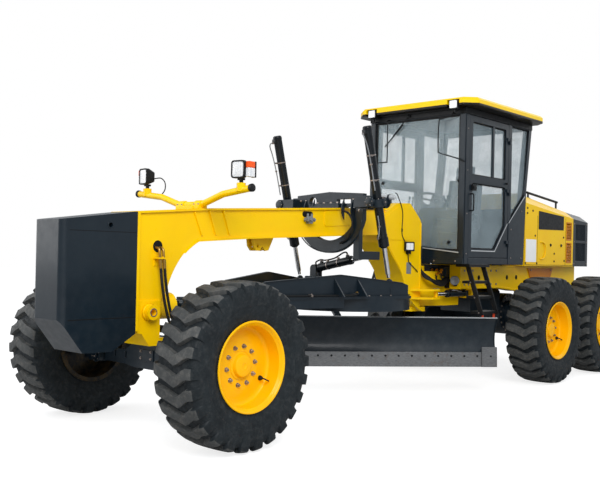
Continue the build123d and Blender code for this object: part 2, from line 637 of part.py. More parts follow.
def drawbar_frame():
    """Level A-shaped flange with upright webs, and the neck that ends in the clevis."""
    front_y, tail_y = CLEVIS_Y + 210, DRAWBAR_TAIL_Y
    tail_x = leg_x(tail_y) + 50
    outer = both_sides([(125, front_y), (leg_x(-2276) + 60, -2276), (tail_x, tail_y)])
    inner = both_sides([(90, -2150), (leg_x(-1500) - 150, -1500), (leg_x(-1100) - 170, -720)])
    frame = plan_plate(outer, *FLANGE_Z) - plan_plate(inner, *FLANGE_Z)
    frame -= rod((0, CIRCLE_Y, FLANGE_Z[0]), (0, CIRCLE_Y, FLANGE_Z[1]), CIRCLE_WINDOW)
    low, high = FLANGE_Z
    rib = [(front_y + 80, low), (-2276, high + RIB_FRONT), (-1419, high + RIB_MIDDLE),
           (tail_y - 46, high + RIB_BACK), (tail_y, high + RIB_BACK - 16), (tail_y, low)]
    frame += pair(leg_plate(rib, WEB_THICKNESS))
    frame += pair(leg_plate([(front_y, 1030), (front_y, FLANGE_Z[0]), (-1400, FLANGE_Z[0]), (-1400, 1030)], 90))
    web_x = leg_x(tail_y - 30)
    frame += block((-web_x, web_x), (tail_y - WEB_THICKNESS, tail_y), (low, high + RIB_BACK - 23))
    frame += block((-125, 125), (NECK_Y, front_y + 150), (1030, FLANGE_Z[1]))
    for side in (1, -1):
        cheek_x = sorted((side * (STUB_HALF_WIDTH + SWING_GAP), side * CLEVIS_HALF_WIDTH))
        cheek = block(cheek_x, (CLEVIS_Y, NECK_Y), (1030, 1130))
        cheek += rod((cheek_x[0], CLEVIS_Y, BALL_Z), (cheek_x[1], CLEVIS_Y, BALL_Z), 50)
        frame += cheek - rod((cheek_x[0], CLEVIS_Y, BALL_Z), (cheek_x[1], CLEVIS_Y, BALL_Z),
                             CLEVIS_PIN_RADIUS + PIN_GAP)
    return frame


def drawbar():
    """Drawbar with the circle's top plate and guard, gussets, ball studs and shift lugs."""
    centre = Pos(0, CIRCLE_Y, 0)
    top = Plane.XY.offset(DRAWBAR_FLOOR_Z) * (Circle(GUARD_RADIUS) - Circle(CIRCLE_WINDOW))
    frame = drawbar_frame() + centre * extrude(top, FLANGE_Z[1] - DRAWBAR_FLOOR_Z)
    guard = Plane.XY.offset(CIRCLE_FLOOR_Z) * (Circle(GUARD_RADIUS) - Circle(GUARD_RADIUS - 24))
    frame += centre * extrude(guard, FLANGE_Z[0] - CIRCLE_FLOOR_Z)
    for y in (-1500, -1230):
        gusset = face_plate([(0, FLANGE_Z[1]), (0, 1330), (110, FLANGE_Z[1])], y, y + 14)
        frame += pair(Pos(leg_x(y), 0, 0) * gusset)
    ball = (LIFT_X, LIFT_BALL_Y, LIFT_BALL_Z)
    stud = block(span(LIFT_X, 150), span(LIFT_BALL_Y, 150), (FLANGE_Z[0], LIFT_BALL_Z - 60))
    stud += rod((*ball[:2], LIFT_BALL_Z - 60), ball, LIFT_BALL_RADIUS - 8)
    frame += pair(stud + sphere_at(ball, LIFT_BALL_RADIUS))
    x, z = CENTRE_EYE
    for near in (CENTRE_Y - 56, CENTRE_Y + 32):
        frame += block(span(x, 90), (near, near + 24), (FLANGE_Z[0], z))
        frame += rod((x, near, z), (x, near + 24, z), 45)
    return frame + rod((x, CENTRE_Y - 56, z), (x, CENTRE_Y + 56, z), 24)


TIP_AXIS = (160, 560)          # y and z of the blade's tipping axis, before the circle turns
ARM_X = 520
ARM_THICKNESS = 40
TIP_BARREL_PIVOT = (560, 940)
TIP_LUG = (70, 830)
TIP_PIN_RADIUS = 20


def turned(solid):
    """Place a piece drawn about the circle's centre, with the blade square across."""
    return Pos(0, CIRCLE_Y, 0) * Rot(0, 0, BLADE_ANGLE) * solid


def circle():
    """Slewing ring with two arms below it and the lug of the tip cylinder."""
    ring = Plane.XY.offset(CIRCLE_FLOOR_Z) * (Circle(CIRCLE_RADIUS) - Circle(CIRCLE_RADIUS - 130))
    body = extrude(ring, CIRCLE_HEIGHT)
    floor = CIRCLE_FLOOR_Z
    y, z = TIP_AXIS
    for side in (1, -1):
        x_span = sorted((side * ARM_X, side * (ARM_X + ARM_THICKNESS)))
        arm = side_plate([(-180, floor + 20), (420, floor + 20), (y + 75, z - 20), (y - 60, z - 20),
                          (y - 70, z + 60), (30, 900), (-180, floor)], *x_span)
        arm += rod((x_span[0], y, z), (x_span[1], y, z), 70)
        body += arm - rod((x_span[0], y, z), (x_span[1], y, z), 30 + PIN_GAP)
    lug_y, lug_z = TIP_BARREL_PIVOT
    for side in (1, -1):
        lug_x = sorted((side * 38, side * 60))
        body += block(lug_x, (lug_y - 40, lug_y + 80), (lug_z, floor + 20))
        body += rod((lug_x[0], lug_y, lug_z), (lug_x[1], lug_y, lug_z), 40)
    body += rod((-60, lug_y, lug_z), (60, lug_y, lug_z), TIP_PIN_RADIUS)
    return turned(body)


# ---------------------------------------------------------------- blade
BOARD_THICKNESS = 20
BOARD_FOOT_Z = BLADE_FLOOR_Z + 130
BLADE_TOP_Z = BLADE_FLOOR_Z + BLADE_HEIGHT
RAIL_BACK_Y = 22
RAILS = [(BLADE_FLOOR_Z + 165, BLADE_FLOOR_Z + 205), (BLADE_FLOOR_Z + 440, BLADE_FLOOR_Z + 480)]
RAIL_HALF_LENGTH = 1250
CARRIER_X = 455
CARRIER_THICKNESS = 36
TIP_BARREL_RADIUS = 40
TIP_BARREL = 330
TIP_ROD_RADIUS = 22
TIP_END_GAP = 14


def board_section():
    """Curved section of the moldboard in (y, z), hollow towards the front."""
    front = [(-78, BOARD_FOOT_Z), (-22, BOARD_FOOT_Z + 220), (-124, BLADE_TOP_Z)]
    back = [(y + BOARD_THICKNESS, z) for y, z in front]
    face = make_face(ThreePointArc(*front) + Line(front[2], back[2]) + ThreePointArc(*reversed(back))
                     + Line(back[0], front[0]))
    return Plane.YZ * face


def blade():
    """Moldboard with two slide rails along its back."""
    half = BLADE_LENGTH / 2
    board = extrude(board_section(), half, both=True)
    rails = None
    for low, high in RAILS:
        rail = block((-RAIL_HALF_LENGTH, RAIL_HALF_LENGTH), (-60, RAIL_BACK_Y), (low, high))
        rails = rail if rails is None else rails + rail
    hollow = extrude(Plane.YZ * make_face(
        ThreePointArc((-78, BOARD_FOOT_Z), (-22, BOARD_FOOT_Z + 220), (-124, BLADE_TOP_Z))
        + Polyline((-124, BLADE_TOP_Z), (-300, BLADE_TOP_Z), (-300, BOARD_FOOT_Z),
                   (-78, BOARD_FOOT_Z))), half, both=True)
    return turned(Pos(BLADE_SHIFT, 0, 0) * (board + (rails - hollow)))


def cutting_edge():
    """Flat steel edge along the moldboard's foot, with thicker end bits."""
    half = BLADE_LENGTH / 2
    low, high = BLADE_FLOOR_Z, BLADE_FLOOR_Z + 165
    edge = side_plate([(-BLADE_OFFSET - 12, low), (-BLADE_OFFSET + 6, low), (-60, BOARD_FOOT_Z),
                       (-78, BOARD_FOOT_Z), (-78, high), (-98, high)], -half, half)
    for side in (1, -1):
        x_span = sorted((side * (half - 180), side * half))
        edge += side_plate([(-BLADE_OFFSET - 30, low), (-BLADE_OFFSET - 12, low), (-98, high),
                            (-98, high + 60), (-116, high + 60)], *x_span)
    return turned(Pos(BLADE_SHIFT, 0, 0) * edge)


def blade_carrier():
    """Tipping frame between the circle's arms and the blade's slide rails."""
    y, z = TIP_AXIS
    frame = rod((-ARM_X + SWING_GAP, y, z), (ARM_X - SWING_GAP, y, z), 46)
    frame += rod((-ARM_X - ARM_THICKNESS - 14, y, z), (ARM_X + ARM_THICKNESS + 14, y, z), 30)
    shoe_y = RAIL_BACK_Y + SEAT_GAP
    bottom, top = RAILS[0][0] - 16, RAILS[1][1] + 16
    for side in (1, -1):
        x_span = sorted((side * CARRIER_X, side * (CARRIER_X + CARRIER_THICKNESS)))
        frame += side_plate([(shoe_y, bottom), (shoe_y, top), (shoe_y + 60, top), (y + 50, z + 40),
                             (y + 50, z - 40), (shoe_y + 60, bottom)], *x_span)
        shoe_x = sorted((side * (CARRIER_X - 50), side * (CARRIER_X + 86 - SWING_GAP - 36)))
        frame += block(shoe_x, (shoe_y, shoe_y + 26), (bottom, top))
    frame += rod((-CARRIER_X, shoe_y + 34, TIP_LUG[1] - 45), (CARRIER_X, shoe_y + 34, TIP_LUG[1] - 45), 30)
    lug_y, lug_z = TIP_LUG
    for side in (1, -1):
        lug_x = sorted((side * 30, side * 50))
        frame += block(lug_x, (lug_y - 24, lug_y + 24), (lug_z - 60, lug_z))
        frame += rod((lug_x[0], lug_y, lug_z), (lug_x[1], lug_y, lug_z), 26)
    frame += rod((-50, lug_y, lug_z), (50, lug_y, lug_z), TIP_PIN_RADIUS)
    return turned(frame)


def tip_axis():
    """Unit vector along the tip cylinder, and its length between pins."""
    start, end = TIP_BARREL_PIVOT, TIP_LUG
    axis = Vector(0, end[0] - start[0], end[1] - start[1])
    return axis.normalized(), axis.length


def tip_barrel():
    """Tip cylinder's barrel on its pin below the circle."""
    start = (0, *TIP_BARREL_PIVOT)
    axis, _ = tip_axis()
    eye = rod((-32, *TIP_BARREL_PIVOT), (32, *TIP_BARREL_PIVOT), 36)
    barrel = eye + rod(along(start, axis, 60), along(start, axis, TIP_BARREL), TIP_BARREL_RADIUS)
    barrel += rod(start, along(start, axis, 60), 30)
    barrel -= rod((-32, *TIP_BARREL_PIVOT), (32, *TIP_BARREL_PIVOT), TIP_PIN_RADIUS + PIN_GAP)
    return turned(barrel - rod(along(start, axis, 70), along(start, axis, TIP_BARREL),
                               TIP_ROD_RADIUS + PIN_GAP))


def tip_rod():
    """Tip cylinder's rod, ending just short of the carrier's pin."""
    start = (0, *TIP_BARREL_PIVOT)
    axis, length = tip_axis()
    end = length - TIP_PIN_RADIUS - TIP_END_GAP
    return turned(rod(along(start, axis, 100), along(start, axis, end), TIP_ROD_RADIUS))


# ---------------------------------------------------------------- articulation cylinders
STEER_PIVOT_Y = 1330
STEER_Z = 1120
STEER_RADIUS = 40
STEER_BARREL = 450
STEER_ROD_RADIUS = 24
STEER_END_GAP = 8


def articulation_barrel():
    """Left articulation cylinder's barrel on its pin below the rear frame."""
    x, y, z = EAR_PIN_X, STEER_PIVOT_Y, STEER_Z
    barrel = rod((x, y - 30, z), (x, y - STEER_BARREL, z), STEER_RADIUS)
    barrel += rod((x, y, z - 34), (x, y, z + 34), 40)
    barrel -= rod((x, y, z - 34), (x, y, z + 34), EAR_PIN_RADIUS + PIN_GAP)
    return barrel - rod((x, y - 60, z), (x, y - STEER_BARREL, z), STEER_ROD_RADIUS + PIN_GAP)


def articulation_rod():
    """Left articulation cylinder's rod, ending just short of the ear's pin."""
    x, z = EAR_PIN_X, STEER_Z
    end = EAR_PIN_Y + EAR_PIN_RADIUS + STEER_END_GAP
    return rod((x, STEER_PIVOT_Y - 250, z), (x, end, z), STEER_ROD_RADIUS)


# ---------------------------------------------------------------- rear frame
RAIL_X = (300, 450)
FRAME_TOP_Z = 1480
FRAME_FLOOR_Z = 1180
FRAME_DIP_Z = 1130
FRAME_FRONT_Y = 1010
FRAME_BACK_Y = TAIL_Y - 120
DIP_START_Y = TANDEM_Y - 849    # the rails deepen from here ...
DIP_END_Y = TANDEM_Y - 359      # ... to here
NOSE_HALF_WIDTH = 140
NOSE_PLATE_BACK_Y = 1300       # rear end of the nose's plate between the rails
MOUNT_HEIGHT = 14
HITCH_BORE_RADIUS = 26
HITCH_Y = TAIL_Y - 50
HITCH_Z = (1160, 1240)


def rear_frame():
    """Two box rails with cross members, the articulation nose and the tow hitch."""
    rail = side_plate([(FRAME_FRONT_Y, FRAME_TOP_Z), (FRAME_BACK_Y, FRAME_TOP_Z),
                       (FRAME_BACK_Y, FRAME_DIP_Z + 40), (DIP_END_Y, FRAME_DIP_Z), (DIP_START_Y, FRAME_FLOOR_Z),
                       (FRAME_FRONT_Y, FRAME_FLOOR_Z)], *RAIL_X)
    frame = pair(rail)
    inner = RAIL_X[0]
    for low, high, floor in ((FRAME_FRONT_Y, NOSE_PLATE_BACK_Y, FRAME_FLOOR_Z),
                             (*span(DIP_START_Y - 20, 100), FRAME_FLOOR_Z),
                             (*span(TANDEM_Y + 1, 320), FRAME_FLOOR_Z + 60),
                             (FRAME_BACK_Y - 100, FRAME_BACK_Y, FRAME_FLOOR_Z)):
        frame += block((-inner, inner), (low, high), (floor, FRAME_TOP_Z))
    nose_z = (TONGUES[0][1] + SWING_GAP, TONGUES[1][0] - SWING_GAP)
    nose = rod((0, PIVOT_Y, nose_z[0]), (0, PIVOT_Y, nose_z[1]), NOSE_HALF_WIDTH)
    nose += plan_plate(both_sides([(NOSE_HALF_WIDTH, PIVOT_Y), (230, FRAME_FRONT_Y),
                                    (250, NOSE_PLATE_BACK_Y)]), *nose_z)
    frame += nose + rod((0, PIVOT_Y, TONGUES[0][0]), (0, PIVOT_Y, TONGUES[1][1]), PIVOT_PIN_RADIUS)
    x, y = EAR_PIN_X, STEER_PIVOT_Y
    bracket = rod((x, y, STEER_Z - 60), (x, y, FRAME_FLOOR_Z), EAR_PIN_RADIUS)
    bracket += block(span(x, 100), (y - 50, y + 110), (STEER_Z - 60, STEER_Z - 34 - SWING_GAP))
    bracket += block(span(x, 100), (y - 50, y + 110), (STEER_Z + 34 + SWING_GAP, FRAME_FLOOR_Z))
    bracket += block(span(x, 100), (y + 70, y + 110), (STEER_Z - 60, FRAME_FLOOR_Z))
    frame += pair(bracket)
    for mount_y in (1100, 2050):
        frame += pair(rod((375, mount_y, FRAME_TOP_Z), (375, mount_y, FRAME_TOP_Z + MOUNT_HEIGHT), 60))
    hitch = block((-90, 90), (FRAME_BACK_Y, HITCH_Y), HITCH_Z)
    hitch += rod((0, HITCH_Y, HITCH_Z[0]), (0, HITCH_Y, HITCH_Z[1]), TAIL_Y - HITCH_Y)
    frame += block((-120, 120), (FRAME_BACK_Y - 40, FRAME_BACK_Y), (HITCH_Z[0] - 20, FRAME_TOP_Z)) + hitch
    return frame - rod((0, HITCH_Y, HITCH_Z[0]), (0, HITCH_Y, HITCH_Z[1]), HITCH_BORE_RADIUS)


# ---------------------------------------------------------------- tandem drive
TANDEM_X = (640, 820)
TANDEM_HEIGHT = 380
REAR_HUB_RADIUS = 90
AXLE_TUBE_RADIUS = 190
DIFFERENTIAL_RADIUS = 290
AXLE_TUBE_Z = 790
GEARBOX_GAP = 340              # behind the frame's nose plate
GEARBOX_BACK = 399             # ahead of the final drive
GEARBOX_HALF_WIDTH = 230
GEARBOX_FLOOR_Z = 860
SHAFT_Z = 1000
SHAFT_RADIUS = 60


def tandem_drive():
    """Two chain cases joined by the final drive's housing, with the four wheel spindles."""
    half = TANDEM_HEIGHT / 2
    drive = rod((-TANDEM_X[1], TANDEM_Y, AXLE_TUBE_Z), (TANDEM_X[1], TANDEM_Y, AXLE_TUBE_Z),
                AXLE_TUBE_RADIUS)
    drive += rod((-170, TANDEM_Y, AXLE_TUBE_Z), (170, TANDEM_Y, AXLE_TUBE_Z), DIFFERENTIAL_RADIUS)
    case = block(TANDEM_X, (MID_AXLE_Y, REAR_AXLE_Y), span(TYRE_RADIUS, TANDEM_HEIGHT))
    case += rod((TANDEM_X[0], TANDEM_Y, AXLE_TUBE_Z), (TANDEM_X[1] + 16, TANDEM_Y, AXLE_TUBE_Z), 240)
    for axle_y in (MID_AXLE_Y, REAR_AXLE_Y):
        case += rod((TANDEM_X[0], axle_y, TYRE_RADIUS), (TANDEM_X[1], axle_y, TYRE_RADIUS), half)
        case += rod((TANDEM_X[1], axle_y, TYRE_RADIUS),
                    (HALF_TRACK + HUB_BACK_X - SWING_GAP, axle_y, TYRE_RADIUS), REAR_HUB_RADIUS)
        case += rod((TANDEM_X[1], axle_y, TYRE_RADIUS),
                    (HALF_TRACK + SPINDLE_END_X, axle_y, TYRE_RADIUS), SPINDLE_RADIUS)
    drive += pair(case)
    post = block((RAIL_X[0] + 10, RAIL_X[1] - 10), (TANDEM_Y - 150, TANDEM_Y + 150),
                 (AXLE_TUBE_Z, FRAME_DIP_Z + 8))
    return drive + (pair(post) - pair(side_plate([(DIP_START_Y, 1200), (FRAME_BACK_Y, 1200),
                                                  (FRAME_BACK_Y, FRAME_DIP_Z + 40),
                                                  (DIP_END_Y, FRAME_DIP_Z)], *RAIL_X)))


def transmission():
    """Gearbox slung between the rails ahead of the final drive."""
    front_y, back_y = NOSE_PLATE_BACK_Y + GEARBOX_GAP, TANDEM_Y - GEARBOX_BACK
    case = block((-GEARBOX_HALF_WIDTH, GEARBOX_HALF_WIDTH), (front_y, back_y), (GEARBOX_FLOOR_Z, FRAME_FLOOR_Z))
    case += rod((0, back_y, SHAFT_Z), (0, TANDEM_Y - DIFFERENTIAL_RADIUS, SHAFT_Z), SHAFT_RADIUS)
    return chamfer(case.edges().filter_by(Axis.Y).group_by(Axis.Z)[-1], 60)


# ---------------------------------------------------------------- cab
CAB_X = 700
CAB_WALL = 50
CAB_FLOOR_Z = FRAME_TOP_Z + MOUNT_HEIGHT
CAB_TOP_Z = 3370
CAB_FRONT_Y = 645
CAB_BELT_Z = 2500
DOOR_Y = (755, 1715)
WINDOW_TOP_Z = CAB_TOP_Z - 80
DOOR_Z = (1580, WINDOW_TOP_Z)
DOOR_BAR_Y = 1340              # thin upright in the door's upper window
DOOR_FRAME = 70                # width of the frame round the door's panes
DOOR_RAIL_Z = (2480, 2575)
DOOR_CORNER = (330, 1980)      # run and top of the slanted corner behind the lower pane
PANE_BITE = 1                  # each pane reaches into its frame
HINGE_X = CAB_X + 14
HINGE_RADIUS = 13
HINGE_LEVELS = [1760, 2420, WINDOW_TOP_Z - 210]
GLASS = 8
# side outline of the cab, (y, z)
CAB_SIDE = [(CAB_FRONT_Y, CAB_FLOOR_Z), (CAB_FRONT_Y, CAB_TOP_Z), (2350, CAB_TOP_Z),
            (2220, CAB_BELT_Z), (2160, CAB_FLOOR_Z)]
CAB_INSIDE = [(CAB_FRONT_Y + CAB_WALL, CAB_FLOOR_Z + CAB_WALL), (CAB_FRONT_Y + CAB_WALL, CAB_TOP_Z),
              (2300, CAB_TOP_Z), (2169, CAB_BELT_Z), (2110, CAB_FLOOR_Z + CAB_WALL)]
WINDSHIELD = both_sides([(0, 1715), (628, 1650), (628, WINDOW_TOP_Z)])
# its foot runs on the slanted line of the door's rear corner
REAR_SIDE_WINDOW = [(1800, 2080), (1800, WINDOW_TOP_Z), (2270, WINDOW_TOP_Z), (2165, CAB_BELT_Z), (2160, 2405)]
REAR_WINDOW_Z = (2240, WINDOW_TOP_Z)


def cab_body():
    """Hollow cab frame with its window and door openings."""
    inside_x = CAB_X - CAB_WALL
    body = side_plate(CAB_SIDE, -CAB_X, CAB_X) - side_plate(CAB_INSIDE, -inside_x, inside_x)
    body -= face_plate(WINDSHIELD, CAB_FRONT_Y - 1, CAB_FRONT_Y + CAB_WALL + 1)
    opening = block((-CAB_X - 1, CAB_X + 1), (DOOR_Y[0] - SWING_GAP, DOOR_Y[1] + SWING_GAP),
                    (DOOR_Z[0] - SWING_GAP, DOOR_Z[1] + SWING_GAP))
    body -= opening
    body -= side_plate(REAR_SIDE_WINDOW, -CAB_X - 1, CAB_X + 1)
    body -= block((-600, 600), (2000, 2500), REAR_WINDOW_Z)
    for side in (1, -1):
        for level in HINGE_LEVELS:
            x, y = side * HINGE_X, DOOR_Y[1] + SWING_GAP + 2
            body += rod((x, y, level - 40), (x, y, level), HINGE_RADIUS)
            body += block(sorted((side * (CAB_X - 2), x)), (y, y + 50), (level - 40, level))
    return body


ROOF_HEIGHT = 100
ROOF_FRONT_Y = 505
ROOF_BACK_Y = 2400
ROOF_X = 740                   # half width at the front edge
ROOF_WIDEST_X = 880
NOTCH_X = (520, 690)           # recess of each work lamp in the front edge
NOTCH_DEPTH = 110
NOTCH_HEIGHT = 78


def cab_roof():
    """Roof panel with chamfered corners, a front overhang and a lamp recess near each corner."""
    outline = both_sides([(ROOF_X, ROOF_FRONT_Y), (ROOF_WIDEST_X, ROOF_FRONT_Y + 135),
                          (ROOF_WIDEST_X, ROOF_BACK_Y - 110), (ROOF_X + 20, ROOF_BACK_Y)])
    roof = plan_plate(outline, CAB_TOP_Z, CAB_TOP_Z + ROOF_HEIGHT)
    roof = chamfer(roof.faces().sort_by(Axis.Z)[-1].edges(), 28)
    recess = block(NOTCH_X, (ROOF_FRONT_Y, ROOF_FRONT_Y + NOTCH_DEPTH), (CAB_TOP_Z, CAB_TOP_Z + NOTCH_HEIGHT))
    return roof - pair(recess)


def cab_glass():
    """Window panes set inside the cab's frame."""
    inset = CAB_WALL / 2
    front = face_plate(WINDSHIELD, CAB_FRONT_Y + inset, CAB_FRONT_Y + inset + GLASS)
    side = side_plate(REAR_SIDE_WINDOW, CAB_X - inset - GLASS, CAB_X - inset)
    top_z = WINDOW_TOP_Z
    rear = side_plate([(2224, 2500), (2327, top_z), (2319, top_z), (2216, 2500), (2200, 2240), (2208, 2240)],
                      -600, 600)
    return front + pair(side) + rear


def door():
    """Left door: a frame round an upper and a lower window, hinged along its rear edge."""
    leaf = block((CAB_X - CAB_WALL, CAB_X), DOOR_Y, DOOR_Z)
    pane_x = (CAB_X - CAB_WALL / 2 - GLASS, CAB_X - CAB_WALL / 2)
    for grow, x_span in ((0, (CAB_X - CAB_WALL - 1, CAB_X + 1)), (PANE_BITE, pane_x)):
        front, back = DOOR_Y[0] + DOOR_FRAME - grow, DOOR_Y[1] - DOOR_FRAME + grow
        low, high = DOOR_Z[0] + DOOR_FRAME + 30 - grow, DOOR_Z[1] - DOOR_FRAME + grow
        run, corner_z = DOOR_CORNER
        upper = block(x_span, (front, back), (DOOR_RAIL_Z[1] - grow, high))
        lower = side_plate([(front, low), (front, DOOR_RAIL_Z[0] + grow), (back, DOOR_RAIL_Z[0] + grow),
                            (back, corner_z), (DOOR_Y[1] - run, low)], *x_span)
        leaf = leaf + upper + lower if grow else leaf - upper - lower
    bar_z = (DOOR_RAIL_Z[1] - 1, DOOR_Z[1] - DOOR_FRAME + 1)
    leaf += block((pane_x[0], CAB_X - 8), span(DOOR_BAR_Y, 26), bar_z)
    y = DOOR_Y[1] + SWING_GAP + 2
    for level in HINGE_LEVELS:
        leaf += rod((HINGE_X, y, level + SEAT_GAP), (HINGE_X, y, level + 40), HINGE_RADIUS)
        leaf += block((CAB_X - 2, HINGE_X + 6), (y - 60, DOOR_Y[1]), (level + SEAT_GAP, level + 40))
        leaf += block((CAB_X + 3, HINGE_X + 6), (DOOR_Y[1], y), (level + SEAT_GAP, level + 40))
    handle_y, handle_z = span(DOOR_Y[0] + 35, 24), span(DOOR_RAIL_Z[0] - 140, 170)
    handle = block((CAB_X - 2, CAB_X + 40), handle_y, handle_z)
    return leaf + handle - block((CAB_X, CAB_X + 26), handle_y, (handle_z[0] + 24, handle_z[1] - 24))


def operator_seat():
    """Seat on its pedestal."""
    seat = block((-150, 150), (1400, 1700), (CAB_FLOOR_Z + CAB_WALL, 1900))
    seat += block((-240, 240), (1300, 1780), (1900, 2020))
    seat += side_plate([(1720, 2000), (1830, 2000), (1900, 2620), (1800, 2620)], -230, 230)
    for side in (1, -1):
        seat += block(sorted((side * 240, side * 300)), (1400, 1760), (2150, 2200))
        seat += block(sorted((side * 240, side * 280)), (1700, 1760), (1960, 2150))
    return seat


def console():
    """Steering pedestal with its wheel and the two banks of levers."""
    foot = side_plate([(820, CAB_FLOOR_Z + CAB_WALL), (980, CAB_FLOOR_Z + CAB_WALL), (1040, 2200),
                       (940, 2240)], -110, 110)
    hub = (0, 1020, 2240)
    tilt = Plane(origin=hub, z_dir=(0, 0.5, 1))
    wheel = tilt * (Pos(0, 0, 60) * Torus(190, 16))
    wheel += tilt * Cylinder(30, 130, align=(Align.CENTER, Align.CENTER, Align.MIN))
    for turn in (0, 120, 240):
        spoke = Rot(0, 0, turn) * Pos(95, 0, 60) * Box(190, 30, 12)
        wheel += tilt * spoke
    bank = block((120, 420), (900, 1060), (2060, 2160)) + block((110, 150), (920, 1020), (1960, 2160))
    levers = [rod((x, 980, 2150), (x, 1030, 2330), 10) for x in (170, 230, 290, 350)]
    return foot + wheel + pair(bank + levers)


# ---------------------------------------------------------------- hood and engine
HOOD_FRONT_Y = 2400
HOOD_BACK_Y = TAIL_Y - 520
HOOD_X = 600
HOOD_WALL = 40
VENT_Y = (HOOD_BACK_Y - 230, HOOD_BACK_Y - 70)          # louvred openings at the hood's rear end
VENT_LEVELS = [(1540, 1820), (1870, 2120)]
SLAT_STEP = 40
SLAT_HEIGHT = 14


def hood_section(y, belt_z, top_z, inset):
    """Cross-section of the hood: upright side, slanted shoulder, flat top."""
    corners = both_sides([(HOOD_X - inset, FRAME_TOP_Z), (HOOD_X - inset, belt_z - inset / 2),
                          (HOOD_X - 130 - inset / 2, top_z - inset)])
    return Pos(0, y, 0) * make_face(Polyline(*[(x, 0, z) for x, z in corners], close=True))


def hood():
    """Engine hood that falls towards the rear, open below."""
    shell = loft([hood_section(HOOD_FRONT_Y, 2340, 2470, 0), hood_section(HOOD_BACK_Y, 2190, 2290, 0)])
    inner = loft([hood_section(HOOD_FRONT_Y + HOOD_WALL, 2336, 2466, HOOD_WALL),
                  hood_section(HOOD_BACK_Y - HOOD_WALL, 2194, 2294, HOOD_WALL)])
    panel = shell - inner
    wall_x = (HOOD_X - HOOD_WALL - 1, HOOD_X + 1)
    for low, high in VENT_LEVELS:
        panel -= pair(block(wall_x, VENT_Y, (low, high)))
        for z in range(low + SLAT_STEP, high, SLAT_STEP):
            slat_y = (VENT_Y[0] - 1, VENT_Y[1] + 1)
            panel += pair(block((HOOD_X - HOOD_WALL + 4, HOOD_X - 8), slat_y, (z, z + SLAT_HEIGHT)))
    return panel


def engine():
    """Engine as one plain block on the frame's rails."""
    return block((-340, 340), (HOOD_FRONT_Y + 120, HOOD_BACK_Y - 170), (FRAME_TOP_Z, 2150))


def grille():
    """Radiator housing behind the hood with upright louvres on each side and bars at the rear."""
    shell = loft([hood_section(HOOD_BACK_Y, 2190, 2290, 0), hood_section(TAIL_Y, 2150, 2245, 0)])
    for side in (1, -1):
        cut_x = sorted((side * (HOOD_X - 30), side * (HOOD_X + 1)))
        for low, high in ((1560, 1830), (1870, 2110)):
            shell -= block(cut_x, (HOOD_BACK_Y + 90, TAIL_Y - 90), (low, high))
        for index in range(8):
            y = HOOD_BACK_Y + 110 + index * 42
            shell += block(sorted((side * (HOOD_X - 31), side * (HOOD_X - 6))), (y, y + 14), (1560, 2110))
    shell -= block((-480, 480), (TAIL_Y - 30, TAIL_Y + 1), (1560, 2110))
    for index in range(9):
        z = 1590 + index * 58
        shell += block((-480, 480), (TAIL_Y - 31, TAIL_Y - 6), (z, z + 20))
    return shell


# ---------------------------------------------------------------- ladders
LADDER_TOP_X = 700             # outer face of the stiles below the sill
LADDER_FOOT_X = 900
LADDER_Y = (810, 1170)
LADDER_FOOT_Z = 890
LADDER_STEPS = [900, 1080, 1260]
STILE = 60                     # depth of each stile across the machine
STILE_HALF_THICKNESS = 10
STEP_HEIGHT = 30
STEP_DEPTH = 160
STEP_INSET = 8                 # behind the stiles' outer face
HANDRAIL_X = 430
HANDRAIL = [(HOOD_FRONT_Y + 400, 2505), (HOOD_BACK_Y - 240, 2430)]      # y and z of its two corners
HANDRAIL_RADIUS = 17
HANDRAIL_POST_RADIUS = 14


def ladder_x(z):
    """Outer face of the ladder's stiles at a height."""
    share = (z - LADDER_FOOT_Z) / (FRAME_TOP_Z - LADDER_FOOT_Z)
    return LADDER_FOOT_X + (LADDER_TOP_X - LADDER_FOOT_X) * share


def ladders():
    """Ladder below each door, its foot swung outwards, and the rails on the hood."""
    foot, top = ladder_x(LADDER_FOOT_Z), ladder_x(FRAME_TOP_Z)
    outline = [(foot - STILE, LADDER_FOOT_Z), (foot, LADDER_FOOT_Z), (top, FRAME_TOP_Z),
               (top - STILE, FRAME_TOP_Z)]
    left = block((CAB_X - 160, top + 30), (LADDER_Y[0] - 60, LADDER_Y[1] + 60), (FRAME_TOP_Z - 20, CAB_FLOOR_Z))
    for y in LADDER_Y:
        left += face_plate(outline, *span(y, 2 * STILE_HALF_THICKNESS))
    for z in LADDER_STEPS:
        x = ladder_x(z + STEP_HEIGHT) - STEP_INSET
        left += block((x - STEP_DEPTH, x), (LADDER_Y[0], LADDER_Y[1]), (z, z + STEP_HEIGHT))
    (front, high), (back, low) = HANDRAIL
    for y, z in HANDRAIL:
        left += rod((HANDRAIL_X, y, 2300), (HANDRAIL_X, y, z), HANDRAIL_POST_RADIUS) - hood_block()
    slope = (high - low) / (back - front)
    start, end = front - 2 * HANDRAIL_RADIUS, back + 2 * HANDRAIL_RADIUS
    left += rod((HANDRAIL_X, start, high + slope * (front - start)),
                (HANDRAIL_X, end, low - slope * (end - back)), HANDRAIL_RADIUS)
    return pair(left)


def hood_block():
    """Hood's outer form, filled."""
    return loft([hood_section(HOOD_FRONT_Y, 2340, 2470, 0), hood_section(HOOD_BACK_Y, 2190, 2290, 0)])


